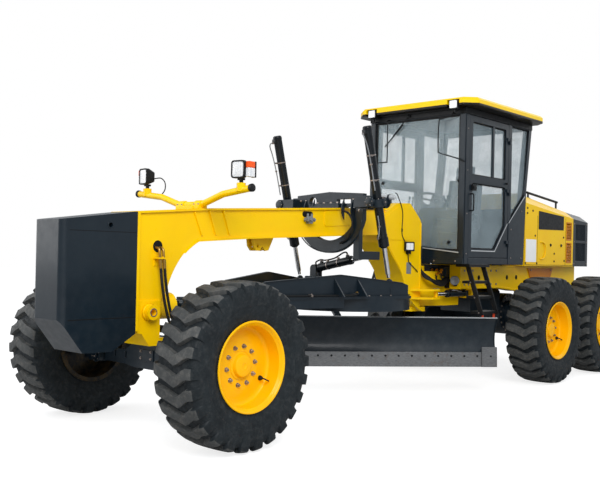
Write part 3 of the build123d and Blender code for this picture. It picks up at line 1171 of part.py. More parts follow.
# ---------------------------------------------------------------- writing
def all_pieces():
    """Every sub-part by node name."""
    pieces = wheels()
    pieces.update(front_axle=front_axle(), lean_bar=lean_bar(), tie_rod=tie_rod(),
                  front_frame=front_frame(), nose_leg=nose_leg(), counterweight=counterweight(),
                  lamp_bar=lamp_bar(), front_lamps=front_lamps(), saddle=saddle(), centre_barrel=centre_barrel(),
                  centre_rod=centre_rod(), drawbar_ball=drawbar_ball(), drawbar=drawbar(),
                  circle=circle(), blade=blade(), cutting_edge=cutting_edge(),
                  blade_carrier=blade_carrier(), tip_barrel=tip_barrel(), tip_rod=tip_rod(),
                  rear_frame=rear_frame(), tandem_drive=tandem_drive(), transmission=transmission(),
                  cab_body=cab_body(), cab_roof=cab_roof(), cab_glass=cab_glass(),
                  operator_seat=operator_seat(), console=console(), hood=hood(), engine=engine(),
                  grille=grille(), ladders=ladders())
    left_pieces = dict(lean_bracket=lean_bracket(), knuckle=knuckle(), lift_yoke=lift_yoke(),
                       lift_barrel=lift_barrel(), lift_rod=lift_rod(), door=door(),
                       articulation_barrel=articulation_barrel(), articulation_rod=articulation_rod())
    for name, piece in left_pieces.items():
        pieces[name + "_left"] = piece
        pieces[name + "_right"] = mirror(piece, about=Plane.YZ)
    return pieces


os.makedirs("parts", exist_ok=True)
for node, piece in all_pieces().items():
    export_step(piece, f"parts/{node}.step")
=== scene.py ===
import math

import bmesh
import bpy
from mathutils import Matrix, Vector
from mathutils.geometry import tessellate_polygon


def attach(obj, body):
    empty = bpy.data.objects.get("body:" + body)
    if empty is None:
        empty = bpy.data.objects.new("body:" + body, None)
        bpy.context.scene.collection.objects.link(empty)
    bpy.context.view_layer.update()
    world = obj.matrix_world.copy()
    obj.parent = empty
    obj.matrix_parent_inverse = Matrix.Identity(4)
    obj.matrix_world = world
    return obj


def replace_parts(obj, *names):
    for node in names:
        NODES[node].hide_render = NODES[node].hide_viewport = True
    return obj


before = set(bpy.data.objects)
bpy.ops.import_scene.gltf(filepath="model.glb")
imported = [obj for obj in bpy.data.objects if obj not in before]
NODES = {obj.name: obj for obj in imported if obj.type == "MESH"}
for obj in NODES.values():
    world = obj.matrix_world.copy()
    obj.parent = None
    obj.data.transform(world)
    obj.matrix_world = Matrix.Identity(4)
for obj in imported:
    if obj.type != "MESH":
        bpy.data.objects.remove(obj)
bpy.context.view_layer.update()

# directions in the machine's frame, and the x of its left-hand flat sides
UP, DOWNWARD, LEFT = Vector((0, 0, 1)), Vector((0, 0, -1)), Vector((1, 0, 0))
FRONT, REAR = Vector((0, -1, 0)), Vector((0, 1, 0))
BEAM_SIDE, RAIL_SIDE, CAB_SIDE, HOOD_SIDE = 0.159, 0.449, 0.708, 0.6


# ---------------------------------------------------------------- camera, light, floor
def linked(name, data):
    """A new object of the scene."""
    made = bpy.data.objects.new(name, data)
    bpy.context.scene.collection.objects.link(made)
    return made


def camera():
    """Camera at the picture's place: yaw, pitch and roll about the machine's frame."""
    yaw, pitch, roll = math.radians(42.17), math.radians(-0.394), math.radians(1.226)
    back = Vector((math.sin(yaw) * math.cos(pitch), -math.cos(yaw) * math.cos(pitch), math.sin(pitch)))
    right = Vector((math.cos(yaw), math.sin(yaw), 0))
    up = back.cross(right)
    turned_right = right * math.cos(roll) + up * math.sin(roll)
    turned_up = up * math.cos(roll) - right * math.sin(roll)
    data = bpy.data.cameras.new("camera")
    data.sensor_width = 36
    data.lens = 827.5 / 600 * 36
    data.clip_end = 200
    eye = linked("camera", data)
    eye.matrix_world = Matrix.Translation((5.873, -7.956, 1.553)) @ Matrix(
        (turned_right, turned_up, back)).transposed().to_4x4()
    bpy.context.scene.camera = eye


class Nodes:
    """A node tree with short ways to add nodes and feed their sockets."""

    def __init__(self, owner, keep=False):
        owner.use_nodes = True
        self.tree = owner.node_tree
        if not keep:
            self.tree.nodes.clear()

    def feed(self, socket, value):
        """Link a socket to another node's output, or set it to a plain value."""
        if isinstance(value, bpy.types.NodeSocket):
            self.tree.links.new(value, socket)
        else:
            socket.default_value = value

    def node(self, kind, sockets=None, **values):
        made = self.tree.nodes.new("ShaderNode" + kind)
        for key, value in values.items():
            setattr(made, key, value)
        for key, value in (sockets or {}).items():
            self.feed(made.inputs[key], value)
        return made

    def math(self, operation, *values):
        return self.node("Math", dict(enumerate(values)), operation=operation).outputs[0]

    def by_ray(self, output, seen, other):
        """One shader for camera and transmission rays and another for all the rest."""
        path = self.node("LightPath").outputs
        either = self.math("MAXIMUM", path["Is Camera Ray"], path["Is Transmission Ray"])
        mix = self.node("MixShader", {0: either, 1: other.outputs[0], 2: seen.outputs[0]})
        self.node(output, {"Surface": mix.outputs[0]})


def lights():
    """Broad soft key from the camera's upper left, a weak fill and a pale world."""
    for name, place, aim, power, size in (("key", (9, -9, 9), (0, -1, 1), 1300, 7),
                                          ("fill", (-8, -8, 5), (0, -2, 1), 420, 8),
                                          ("back", (2, 10, 8), (0, 0, 1), 220, 8)):
        data = bpy.data.lights.new(name, "AREA")
        data.energy, data.size = power, size
        lamp = linked(name, data)
        lamp.location = place
        lamp.rotation_euler = (Vector(place) - Vector(aim)).to_track_quat("Z", "Y").to_euler()
    world = bpy.context.scene.world = bpy.data.worlds.new("world")
    sky = Nodes(world)
    sky.by_ray("OutputWorld", sky.node("Background", {"Color": (1, 1, 1, 1), "Strength": 1.0}),
               sky.node("Background", {"Color": (0.93, 0.96, 1, 1), "Strength": 0.62}))


def floor():
    """Pale floor that shows near white and keeps the shadow."""
    half, level = 60, -0.002
    mesh = bpy.data.meshes.new("floor")
    mesh.from_pydata([(x * half, y * half, level) for x, y in ((-1, -1), (1, -1), (1, 1), (-1, 1))], [],
                     [(0, 1, 2, 3)])
    linked("floor", mesh)
    mat = bpy.data.materials.new("floor")
    pale = Nodes(mat)
    lit = pale.node("BsdfDiffuse", {"Color": (0.42, 0.42, 0.42, 1)})
    glow = pale.node("Emission", {"Strength": 0.78})
    pale.by_ray("OutputMaterial", pale.node("AddShader", {0: lit.outputs[0], 1: glow.outputs[0]}),
                pale.node("BsdfDiffuse", {"Color": (0.55, 0.55, 0.55, 1)}))
    mesh.materials.append(mat)


# ---------------------------------------------------------------- materials
def linear(red, green, blue):
    """Linear colour from 0-255 display values."""
    def one(value):
        value /= 255
        return value / 12.92 if value <= 0.04045 else ((value + 0.055) / 1.055) ** 2.4
    return one(red), one(green), one(blue), 1


def lighter(colour, step):
    return tuple(min(255, value + step) for value in colour)


class Shader(Nodes):
    """A Principled material with helpers for noise, ramps and bump. Colours to blend are 0-255."""

    def __init__(self, name, **sockets):
        self.mat = bpy.data.materials.new(name)
        super().__init__(self.mat, keep=True)
        self.bsdf = self.tree.nodes["Principled BSDF"]
        self.place = self.node("TexCoord").outputs["Object"]
        for key, value in sockets.items():
            self.feed(self.bsdf.inputs[key.replace("_", " ")], value)

    def noise(self, scale, detail=4, rough=0.55, stretch=None):
        """Noise in the object's coordinates, which can be scaled apart along each axis."""
        place = self.place
        if stretch:
            place = self.node("Mapping", {"Vector": place, "Scale": stretch}).outputs[0]
        sockets = {"Scale": scale, "Detail": detail, "Roughness": rough, "Vector": place}
        return self.node("TexNoise", sockets).outputs["Fac"]

    def span(self, value, low, high, to_low=0, to_high=1):
        """Map a value's range onto another."""
        return self.node("MapRange", {"Value": value, "From Min": low, "From Max": high, "To Min": to_low,
                                      "To Max": to_high}).outputs[0]

    def patches(self, scale, detail, low, high, to=(0, 1), rough=0.55, stretch=None):
        """Noise with a range of its values mapped onto another."""
        return self.span(self.noise(scale, detail, rough, stretch), low, high, *to)

    def along(self, axis):
        return self.node("SeparateXYZ", {0: self.place}).outputs[axis]

    def blend(self, factor, one, other):
        """Mix two colours, each a tuple or a socket."""
        one, other = (linear(*value) if isinstance(value, tuple) else value for value in (one, other))
        return self.node("Mix", {0: factor, 6: one, 7: other}, data_type="RGBA").outputs[2]

    def finish(self, colour, rough, bump=None, strength=0, distance=0):
        """Give the surface its colour, roughness and bump."""
        for key, value in (("Base Color", colour), ("Roughness", rough)):
            self.feed(self.bsdf.inputs[key], value)
        if bump:
            made = self.node("Bump", {"Strength": strength, "Distance": distance, "Height": bump})
            self.feed(self.bsdf.inputs["Normal"], made.outputs[0])
        return self.mat


def paint(name, colour, shade, dust=(206, 160, 60), gloss=(0.26, 0.4), low_dust=0.2, shine=0.14, split=None):
    """Sprayed enamel: faint tone changes, orange-peel bump, dust that gathers low down."""
    made = Shader(name, Coat_Weight=shine / 2, Coat_Roughness=0.12, Specular_IOR_Level=shine)
    base = made.blend(made.patches(1.7, 5, 0.35, 0.7), colour, shade)
    # split: another colour on one side of a level along an axis; on the rims it is painted shade on their
    # inner side, on the roof the lower part's dark paint
    if split:
        axis, level, other = split
        below = made.math("LESS_THAN", made.math("ABSOLUTE", made.along(axis)), level)
        base = made.blend(below, base, other)
    grime = made.patches(9, 8, 0.42, 0.78, rough=0.7)
    low = made.span(made.along("Z"), 1.25, 0.2, 0.06, low_dust)
    return made.finish(made.blend(made.math("MULTIPLY", grime, low), base, dust),
                       made.patches(14, 6, 0.3, 0.75, gloss, 0.65), made.noise(420, 2), 0.05, 0.0006)


def chrome_mat():
    made = Shader("chrome", Metallic=1.0)
    brushed = made.patches(60, 4, 0.3, 0.7, (0.07, 0.2), stretch=(1, 1, 0.05))
    return made.finish((0.72, 0.73, 0.75, 1), brushed)


def rubber_mat(name, colour, dust, amount):
    """Tyre rubber: matt, with dry dust caught in its surface."""
    made = Shader(name, Specular_IOR_Level=0.28)
    base = made.blend(made.patches(6, 6, 0.35, 0.7, rough=0.6), colour, lighter(colour, 14))
    film = made.math("MULTIPLY", made.patches(22, 8, 0.48, 0.72, rough=0.75), amount)
    return made.finish(made.blend(film, base, dust), made.patches(30, 5, 0.3, 0.7, (0.5, 0.78)),
                       made.noise(180, 4, 0.7), 0.25, 0.0012)


def steel_mat():
    """Bare cutting steel: brushed along its length, rust-brown in patches."""
    made = Shader("edge_steel", Metallic=0.75)
    base = made.blend(made.patches(30, 6, 0.3, 0.7, stretch=(1, 1, 12)), (88, 90, 92), (132, 133, 134))
    rust = made.patches(11, 8, 0.56, 0.74, rough=0.72)
    return made.finish(made.blend(rust, base, (96, 82, 70)), made.patches(40, 4, 0.3, 0.7, (0.34, 0.55)),
                       made.noise(90, 3, stretch=(1, 1, 8)), 0.15, 0.0006)


def plastic_mat(name, colour, rough=(0.42, 0.6)):
    made = Shader(name, Specular_IOR_Level=0.3)
    return made.finish(made.blend(made.patches(5, 5, 0.35, 0.7), colour, lighter(colour, 10)),
                       made.patches(25, 4, 0.3, 0.7, rough), made.noise(260, 3), 0.12, 0.0005)


def glass_mat(name, colour, rough=0.02, alpha=0.28):
    """Thin pane: mostly clear, faintly tinted, with a film of dust."""
    made = Shader(name, IOR=1.45, Specular_IOR_Level=0.8)
    film = made.patches(3.2, 7, 0.35, 0.8, (alpha - 0.08, alpha + 0.1), 0.6)
    made.feed(made.bsdf.inputs["Alpha"], film)
    return made.finish(linear(*colour), rough)


def fabric_mat():
    """Seat cloth with a fine square weave."""
    made = Shader("seat_cloth", Sheen_Weight=0.3)
    weave = made.node("TexBrick", {"Vector": made.place, "Scale": 220, "Mortar Size": 0.03})
    return made.finish(made.blend(made.patches(8, 5, 0.3, 0.7), (38, 40, 44), (54, 56, 60)),
                       made.patches(50, 4, 0.3, 0.7, (0.75, 0.92)), weave.outputs["Fac"], 0.3, 0.0008)


def lamp_mat():
    made = Shader("lamp_lens", Transmission_Weight=0.15, IOR=1.45, Coat_Weight=0.6)
    ribs = made.node("TexWave", {"Vector": made.place, "Scale": 14}).outputs["Fac"]
    return made.finish(made.blend(ribs, (232, 236, 240), (252, 252, 252)),
                       made.patches(20, 3, 0.3, 0.7, (0.1, 0.22)), ribs, 0.4, 0.002)


def steel_tone(name, light, dark):
    """Plain worn metal in a given tone."""
    made = Shader(name, Metallic=0.8)
    return made.finish(made.blend(made.patches(24, 6, 0.35, 0.65, rough=0.65), light, dark),
                       made.patches(40, 4, 0.3, 0.7, (0.28, 0.5)), made.noise(160, 3), 0.1, 0.0005)


# where the rims' painted shade and the roof's dark paint end: half width at the rims' faces, and height on
# the roof
RIM_SHADE_TO, ROOF_DARK_TO = 1.1205, 3.398
# each finish: its slot in the record, and its material
MATS = {
    "yellow": ("yellow_paint", paint("yellow_paint", (255, 210, 0), (255, 202, 0))),
    # rims: everything inboard of the rims' outer faces is painted dark slate as shade
    "rim": ("yellow_paint", paint("rim_enamel_shaded_inside", (255, 194, 0), (255, 184, 0),
                                  split=("X", RIM_SHADE_TO, (16, 22, 27)))),
    "roof": ("yellow_paint", paint("roof_enamel", (255, 214, 0), (255, 206, 0),
                                   split=("Z", ROOF_DARK_TO, (14, 16, 18)))),
    # ochre: a darker orange yellow, painted shade on the frame's fender plates; also used for the hood
    # louvres and the valve ports
    "ochre": ("yellow_paint", paint("ochre_enamel_and_painted_shade", (214, 132, 10), (200, 116, 8), (150, 100, 50))),
    # tread: a lighter copy of the tyre rubber for the lugs' outer faces, painted light on the faces turned to
    # the light, with more dust
    "tread": ("tyre_rubber", rubber_mat("lit_tread_rubber", (58, 60, 60), (120, 116, 110), 0.5)),
    "charcoal": ("charcoal_paint", paint("charcoal_paint", (19, 32, 41), (14, 26, 35), (74, 78, 80),
                                         (0.3, 0.46), 0.4, 0.3)),
    "black": ("black_plastic", plastic_mat("black_plastic", (10, 12, 14))),
    "tyre": ("tyre_rubber", rubber_mat("tyre_rubber", (14, 21, 25), (72, 74, 74), 0.4)),
    "hose": ("tyre_rubber", rubber_mat("hose_rubber", (16, 16, 18), (80, 76, 70), 0.3)),
    "chrome": ("chrome_rod", chrome_mat()),
    "steel": ("edge_steel", steel_mat()),
    "glass": ("cab_glass", glass_mat("cab_pane", (176, 196, 204))),
    "cloth": ("seat_fabric", fabric_mat()),
    "lens": ("cab_glass", lamp_mat()),
    "amber": ("black_plastic", plastic_mat("amber_lens", (240, 84, 20), (0.15, 0.25))),
    "red_orange": ("black_plastic", plastic_mat("orange_sleeve", (206, 62, 24), (0.4, 0.6))),
    "white": ("black_plastic", plastic_mat("white_plate", (244, 246, 246), (0.3, 0.45))),
    "grey": ("edge_steel", plastic_mat("grey_metal", (122, 126, 130), (0.3, 0.5))),
    "brown": ("black_plastic", plastic_mat("louvre_brown", (74, 50, 34), (0.4, 0.6))),
    "brass": ("edge_steel", steel_tone("brass_fitting", (178, 142, 70), (150, 116, 56))),
    "nut": ("edge_steel", steel_tone("nut_steel", (176, 166, 160), (130, 118, 110))),
    "dark": ("black_plastic", plastic_mat("shadow_black", (6, 6, 7), (0.8, 0.9))),
    "gloss": ("charcoal_paint", plastic_mat("gloss_black", (13, 18, 22), (0.14, 0.28))),
    # light grey: the lock pin cylinder and the blade's top lip, and painted highlights along the cab's window
    # edges
    "light_grey": ("edge_steel", plastic_mat("light_grey", (176, 180, 182), (0.3, 0.45))),
}


# ---------------------------------------------------------------- mesh code
class Piece:
    """Collects shapes in the machine's frame and emits them as one mesh object."""

    def __init__(self):
        self.verts, self.faces = [], []

    def put(self, verts, faces):
        start = len(self.verts)
        self.verts += [Vector(v) for v in verts]
        self.faces += [[start + index for index in face] for face in faces]
        return self

    def box(self, low, high, turn=None, about=None):
        """Box between two corners, or turned about a point."""
        (a, b, c), (d, e, f) = low, high
        verts = [Vector(v) for v in ((a, b, c), (d, b, c), (d, e, c), (a, e, c),
                                     (a, b, f), (d, b, f), (d, e, f), (a, e, f))]
        if turn:
            verts = [turn @ (v - about) + about for v in verts]
        return self.put(verts, [(0, 3, 2, 1), (4, 5, 6, 7), (0, 1, 5, 4), (1, 2, 6, 5), (2, 3, 7, 6),
                                (3, 0, 4, 7)])

    def prism(self, outline, depth):
        """Flat outline of points pushed along a vector."""
        count, depth = len(outline), Vector(depth)
        verts = [Vector(p) for p in outline] + [Vector(p) + depth for p in outline]
        faces = [list(range(count))[::-1], list(range(count, 2 * count))]
        return self.put(verts, faces + [(i, (i + 1) % count, (i + 1) % count + count, i + count)
                                        for i in range(count)])

    def plate(self, outline, x, proud):
        """Outline of (y, z) points on a plane of constant x, standing proud of it."""
        return self.prism([(x, y, z) for y, z in outline], (proud, 0, 0))

    def lathe(self, profile, origin, axis, steps=40, closed=False):
        """Profile of (along, radius) turned about an axis."""
        origin, axis = Vector(origin), Vector(axis).normalized()
        side = axis.orthogonal().normalized()
        other = axis.cross(side)
        verts, faces, rings = [], [], []
        for along, radius in profile:
            count = steps if radius > 1e-6 else 1
            rings.append(list(range(len(verts), len(verts) + count)))
            for index in range(count):
                angle = 2 * math.pi * index / steps
                away = side * math.cos(angle) + other * math.sin(angle)
                verts.append(origin + axis * along + away * radius)
        for one, two in zip(rings, rings[1:] + rings[:1] * closed):
            for index in range(steps):
                a, b = one[index % len(one)], one[(index + 1) % len(one)]
                c, d = two[(index + 1) % len(two)], two[index % len(two)]
                face = list(dict.fromkeys((a, b, c, d)))
                if len(face) > 2:
                    faces.append(face)
        return self.put(verts, faces)

    def turned(self, profile, origin, axis, steps=40):
        """Solid turned from a profile, with a flat face at each end."""
        return self.lathe([(profile[0][0], 0)] + profile + [(profile[-1][0], 0)], origin, axis, steps)

    def ring(self, ends, radii, origin, axis, steps=40):
        """Square-edged ring between two places along an axis."""
        (low, high), (inner, outer) = ends, radii
        square = [(low, inner), (low, outer), (high, outer), (high, inner)]
        return self.lathe(square, origin, axis, steps, closed=True)

    def rod(self, start, end, radius, steps=20):
        """Round bar with flat ends."""
        axis = Vector(end) - Vector(start)
        return self.turned([(0, radius), (axis.length, radius)], start, axis, steps)

    def hexagon(self, centre, axis, radius, height):
        """Bolt head or nut standing on a face."""
        return self.turned([(0, radius), (height * 0.8, radius), (height, radius * 0.82)], centre, axis, 6)

    def screw(self, place, axis, radius=0.011, height=0.009):
        """Washer and hexagon head on a face."""
        place, axis = Vector(place), Vector(axis)
        self.turned([(0, radius * 1.35), (height * 0.25, radius * 1.35)], place, axis, 16)
        return self.hexagon(place + axis * height * 0.24, axis, radius, height)

    def bolt_ring(self, centre, axis, circle_radius, count, radius, height, first=0.0):
        """Bolt heads round a face."""
        axis = Vector(axis).normalized()
        side = axis.orthogonal().normalized()
        other = axis.cross(side)
        for index in range(count):
            angle = first + 2 * math.pi * index / count
            place = Vector(centre) + (side * math.cos(angle) + other * math.sin(angle)) * circle_radius
            self.screw(place, axis, radius, height)
        return self

    def pipe(self, points, radius, steps=14, smooth=6):
        """Hose or bent tube along a smooth line through the points."""
        line = curve_through([Vector(p) for p in points], smooth)
        verts, faces = [], []
        side = (line[1] - line[0]).orthogonal().normalized()
        for index, point in enumerate(line):
            ahead = line[min(index + 1, len(line) - 1)] - line[max(index - 1, 0)]
            ahead.normalize()
            side = (side - ahead * side.dot(ahead)).normalized()
            other = ahead.cross(side)
            for step in range(steps):
                angle = 2 * math.pi * step / steps
                verts.append(point + (side * math.cos(angle) + other * math.sin(angle)) * radius)
        for index in range(len(line) - 1):
            for step in range(steps):
                a, b = index * steps + step, index * steps + (step + 1) % steps
                faces.append((a, b, b + steps, a + steps))
        faces.append(list(range(steps))[::-1])
        faces.append(list(range(len(verts) - steps, len(verts))))
        return self.put(verts, faces)

    def flipped(self):
        """Mirror image on the machine's other side."""
        return Piece().put([(-v.x, v.y, v.z) for v in self.verts], [face[::-1] for face in self.faces])

    def mirrored(self):
        """The piece together with its mirror image."""
        other = self.flipped()
        return self.put(other.verts, other.faces)

    def emit(self, name, mat, body, bevel=0.003, segments=2, angle=32):
        """Make the object, give it its material and put it on its body."""
        slot, made = MATS[mat]
        mesh = bpy.data.meshes.new(name)
        mesh.from_pydata([tuple(v) for v in self.verts], [], self.faces)
        work = bmesh.new()
        work.from_mesh(mesh)
        bmesh.ops.recalc_face_normals(work, faces=work.faces)
        work.to_mesh(mesh)
        work.free()
        mesh.materials.append(made)
        piece = linked(name, mesh)
        round_off(piece, bevel, segments, angle)
        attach(piece, body)
        return piece

    def each_side(self, name, mat, body, **looks):
        """Emit a left-hand piece and its mirror image, each on its own side's body."""
        self.emit(name + "_left", mat, body.format("left"), **looks)
        self.flipped().emit(name + "_right", mat, body.format("right"), **looks)


def curve_through(points, steps):
    """Catmull-Rom line through the points."""
    if steps < 2 or len(points) < 3:
        return points
    ends = [points[0] * 2 - points[1]] + points + [points[-1] * 2 - points[-2]]
    line = []
    for a, b, c, d in zip(ends, ends[1:], ends[2:], ends[3:]):
        for index in range(steps):
            t = index / steps
            line.append(0.5 * ((2 * b) + (c - a) * t + (2 * a - 5 * b + 4 * c - d) * t * t
                               + (3 * b - a - 3 * c + d) * t * t * t))
    return line + [points[-1]]


def round_off(piece, bevel, segments, angle):
    """Rounded edges and clean shading, as modifiers."""
    if bevel:
        made = piece.modifiers.new("bevel", "BEVEL")
        made.width = bevel
        made.segments = segments
        made.limit_method = "ANGLE"
        made.angle_limit = math.radians(angle)
        made.use_clamp_overlap = True
    for face in piece.data.polygons:
        face.use_smooth = True
    made = piece.modifiers.new("normals", "WEIGHTED_NORMAL")
    made.weight = 60
    made.keep_sharp = True


def dress(node, mat):
    """Give a CAD node its finish: joined facets, rounded edges, material."""
    piece = NODES[node]
    piece.data.materials.clear()
    piece.data.materials.append(MATS[mat][1])
    if "custom_normal" in piece.data.attributes:
        piece.data.attributes.remove(piece.data.attributes["custom_normal"])
    weld = piece.modifiers.new("weld", "WELD")
    weld.merge_threshold = 0.00005
    flat = piece.modifiers.new("facets", "DECIMATE")
    flat.decimate_type = "DISSOLVE"
    flat.angle_limit = math.radians(0.4)
    round_off(piece, 0.004, 2, 30)


def holed(piece, outer, holes, place, depth):
    """Flat sheet with openings: 2-D outlines, a function that places a point, and a depth vector."""
    loops = [outer] + holes
    points = [Vector(place(a, b)) for loop in loops for a, b in loop]
    count, depth = len(points), Vector(depth)
    flat = [[Vector((a, b, 0)) for a, b in loop] for loop in loops]
    faces = [list(face) for face in tessellate_polygon(flat)]
    sheet = faces + [[count + index for index in reversed(face)] for face in faces]
    start = 0
    for loop in loops:
        size = len(loop)
        for index in range(size):
            after = start + (index + 1) % size
            sheet.append([start + index, after, after + count, start + index + count])
        start += size
    return piece.put(points + [point + depth for point in points], sheet)


def inset(outline, amount):
    """Convex outline pulled in by an amount along each corner's bisector."""
    made, count = [], len(outline)
    for index, corner in enumerate(outline):
        here = Vector(corner)
        before = (Vector(outline[index - 1]) - here).normalized()
        after = (Vector(outline[(index + 1) % count]) - here).normalized()
        sine = max(0.2, abs(before.x * after.y - before.y * after.x))
        made.append(tuple(here + (before + after) * (amount / sine)))
    return made


def rounded(outline, radius, steps=5):
    """Round the corners of a closed 2-D outline."""
    made, count = [], len(outline)
    for index, corner in enumerate(outline):
        here = Vector(corner)
        before = Vector(outline[index - 1]) - here
        after = Vector(outline[(index + 1) % count]) - here
        cut = min(radius, before.length * 0.45, after.length * 0.45)
        a, b = here + before.normalized() * cut, here + after.normalized() * cut
        for step in range(steps + 1):
            t = step / steps
            made.append(tuple(a * (1 - t) ** 2 + here * 2 * t * (1 - t) + b * t * t))
    return made


def between(line, place):
    """Value of a broken line of (place, value) points."""
    for (a, low), (b, high) in zip(line, line[1:]):
        if place <= b:
            return low + (high - low) * (place - a) / (b - a)
    return line[-1][1]


# ---------------------------------------------------------------- the CAD nodes' finishes
def sides(*names):
    return [name + side for name in names for side in ("_left", "_right")]


FINISH = {
    "yellow": ["front_frame", "nose_leg", "lamp_bar", "rear_frame", "hood"],
    "roof": ["cab_roof"],
    "rim": sides("rim_front", "rim_mid", "rim_rear"),
    "charcoal": ["front_axle", "lean_bar", "tie_rod", "counterweight", "drawbar_ball", "drawbar", "circle",
                 "blade", "blade_carrier", "tip_barrel", "tandem_drive", "transmission", "saddle", "grille",
                 "cab_body", "engine"] + sides("lean_bracket", "knuckle",
                                               "lift_yoke", "door", "articulation_barrel"),
    "gloss": ["centre_barrel"] + sides("lift_barrel"),
    "chrome": ["centre_rod", "tip_rod"] + sides("lift_rod", "articulation_rod"),
    "steel": ["cutting_edge"],
    "black": ["front_lamps", "console", "ladders"],
    "tyre": sides("tyre_front", "tyre_mid", "tyre_rear"),
    "glass": ["cab_glass"],
    "cloth": ["operator_seat"],
}


# ---------------------------------------------------------------- wheels
TYRE_R = 0.674
HALF_TRACK = 1.0775
AXLES = {"front": -3.4, "mid": 2.05, "rear": 3.588}
LUGS = 26
TREAD_FROM = 0.648
# half section of the tyre, middle to bead: (x, radius) over a lug and between lugs, then the smooth wall
SHOULDER = [((0, 0.674), (0, 0.637)), ((0.045, 0.6738), (0.045, 0.637)), ((0.09, 0.673), (0.09, 0.636)),
            ((0.135, 0.6705), (0.134, 0.634)), ((0.172, 0.666), (0.168, 0.631)),
            ((0.198, 0.6585), (0.189, 0.625)), ((0.2115, 0.644), (0.2005, 0.613)),
            ((0.2165, 0.618), (0.2065, 0.598)),
            ((0.2195, 0.592), (0.2125, 0.58)), ((0.2212, 0.57), (0.219, 0.565))]
WALL = [(0.222, 0.545), (0.2216, 0.515), (0.2195, 0.485), (0.2165, 0.482), (0.215, 0.455), (0.209, 0.425),
        (0.2065, 0.424), (0.201, 0.402), (0.1885, 0.38), (0.185, 0.345)]
SECTION = SHOULDER + [(point, point) for point in WALL]
# place round one pitch, and whether it is up on the lug
PITCH = [(0, 0), (0.05, 1), (0.22, 1), (0.4, 1), (0.57, 1), (0.62, 0), (0.75, 0), (0.88, 0)]
# the lug's zigzag: place across the tread, and shift round the tyre
ZIGZAG = [(-0.23, 0.058), (-0.15, 0.026), (-0.07, 0.012), (0.055, -0.042), (0.135, 0.016), (0.175, 0.034),
          (0.23, 0.03)]
RIM_PROFILE = [(0.19, 0.3375), (0.19, 0.362), (0.197, 0.3655), (0.204, 0.362), (0.2035, 0.352),
               (0.198, 0.346), (0.19, 0.339), (0.182, 0.334), (0.176, 0.326), (0.17, 0.3235),
               (0.07, 0.3215), (0.058, 0.317), (0.05, 0.306), (0.044, 0.285), (0.052, 0.245),
               (0.058, 0.2), (0.06, 0.18), (0.06, 0.118), (0.063, 0.114), (0.04, 0.114), (0.03, 0.3),
               (0.045, 0.3355)]
RIM_BARREL = [(-0.204, 0.362), (-0.204, 0.323), (0.046, 0.323), (0.046, 0.3355), (-0.19, 0.3355),
              (-0.19, 0.362)]
HUB_CAP = [(0.05, 0.113), (0.064, 0.113), (0.068, 0.107), (0.07, 0.096), (0.092, 0.09), (0.1, 0.084),
           (0.104, 0.07), (0.106, 0.04), (0.106, 0.022), (0.1035, 0.02)]


def tyre_piece(name, side, axle_y, turn):
    """Tyre with its zigzag lugs, ribbed shoulder and stepped sidewall."""
    rows = [[(-x, radius) for x, radius in pair] for pair in reversed(SECTION[1:])] + SECTION
    columns = [(pitch + place, up) for pitch in range(LUGS) for place, up in PITCH]
    verts, faces = [], []
    for place, up in columns:
        for lug, gap in rows:
            x, radius = lug if up else gap
            fade = min(1, max(0, (lug[1] - 0.54) / 0.06))
            shift = between(ZIGZAG, lug[0]) / TYRE_R * (0.35 + 0.65 * fade)
            angle = 2 * math.pi * place / LUGS + shift + turn
            verts.append((side * (HALF_TRACK + x), axle_y + radius * math.sin(angle) * side,
                          TYRE_R + radius * math.cos(angle)))
    across = len(rows)
    for column in range(len(columns)):
        here, after = column * across, (column + 1) % len(columns) * across
        faces += [(here + row, here + row + 1, after + row + 1, after + row) for row in range(across - 1)]
    made = Piece().put(verts, faces).emit("tread_" + name, "tyre", "wheel_" + name, segments=1, angle=38)
    # faces out beyond TREAD_FROM take the lighter rubber: painted light on the lugs' outer faces
    made.data.materials.append(MATS["tread"][1])
    for face in made.data.polygons:
        if math.hypot(face.center.y - axle_y, face.center.z - TYRE_R) > TREAD_FROM:
            face.material_index = 1
    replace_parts(made, "tyre_" + name)


def rim_piece(name, side, axle_y):
    """Dished rim with its gutter ring, disc, domed hub cap, nuts and valve."""
    body = "wheel_" + name
    centre, axis = Vector((side * HALF_TRACK, axle_y, TYRE_R)), LEFT * side
    metal = Piece().lathe(RIM_PROFILE, centre, axis, 96, closed=True)
    metal.lathe(RIM_BARREL, centre, axis, 96, closed=True).turned(HUB_CAP, centre, axis, 64)
    metal.ring((-0.124, 0.045), (0.0505, 0.105), centre, axis, 40)
    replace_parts(metal.emit("rim_shell_" + name, "rim", body, bevel=0.0015, angle=35), "rim_" + name)
    nuts = Piece()
    for index in range(10):
        angle = 2 * math.pi * (index + 0.3) / 10
        place = centre + Vector((side * 0.059, 0.155 * math.sin(angle), 0.155 * math.cos(angle)))
        nuts.turned([(0, 0.019), (0.004, 0.019)], place, axis, 20)
        nuts.hexagon(place + axis * 0.004, axis, 0.0155, 0.016)
        nuts.rod(place + axis * 0.018, place + axis * 0.03, 0.008, 12)
    nuts.emit("wheel_nuts_" + name, "nut", body, bevel=0.001, segments=1)
    angle = math.radians(-118)
    out = Vector((0, -side * math.sin(angle), math.cos(angle)))
    base = centre + axis * 0.05 + out * 0.255
    valve = Piece().lathe([(0, 0), (0, 0.021), (0.016, 0.019), (0.03, 0.0125), (0.034, 0)], base, axis, 20)
    stem = [(0.02, 0), (0.045, 0.006), (0.06, 0.04), (0.062, 0.052)]
    valve.pipe([base + axis * along + out * away for along, away in stem], 0.006, 10)
    valve.emit("valve_" + name, "black", body, bevel=0)


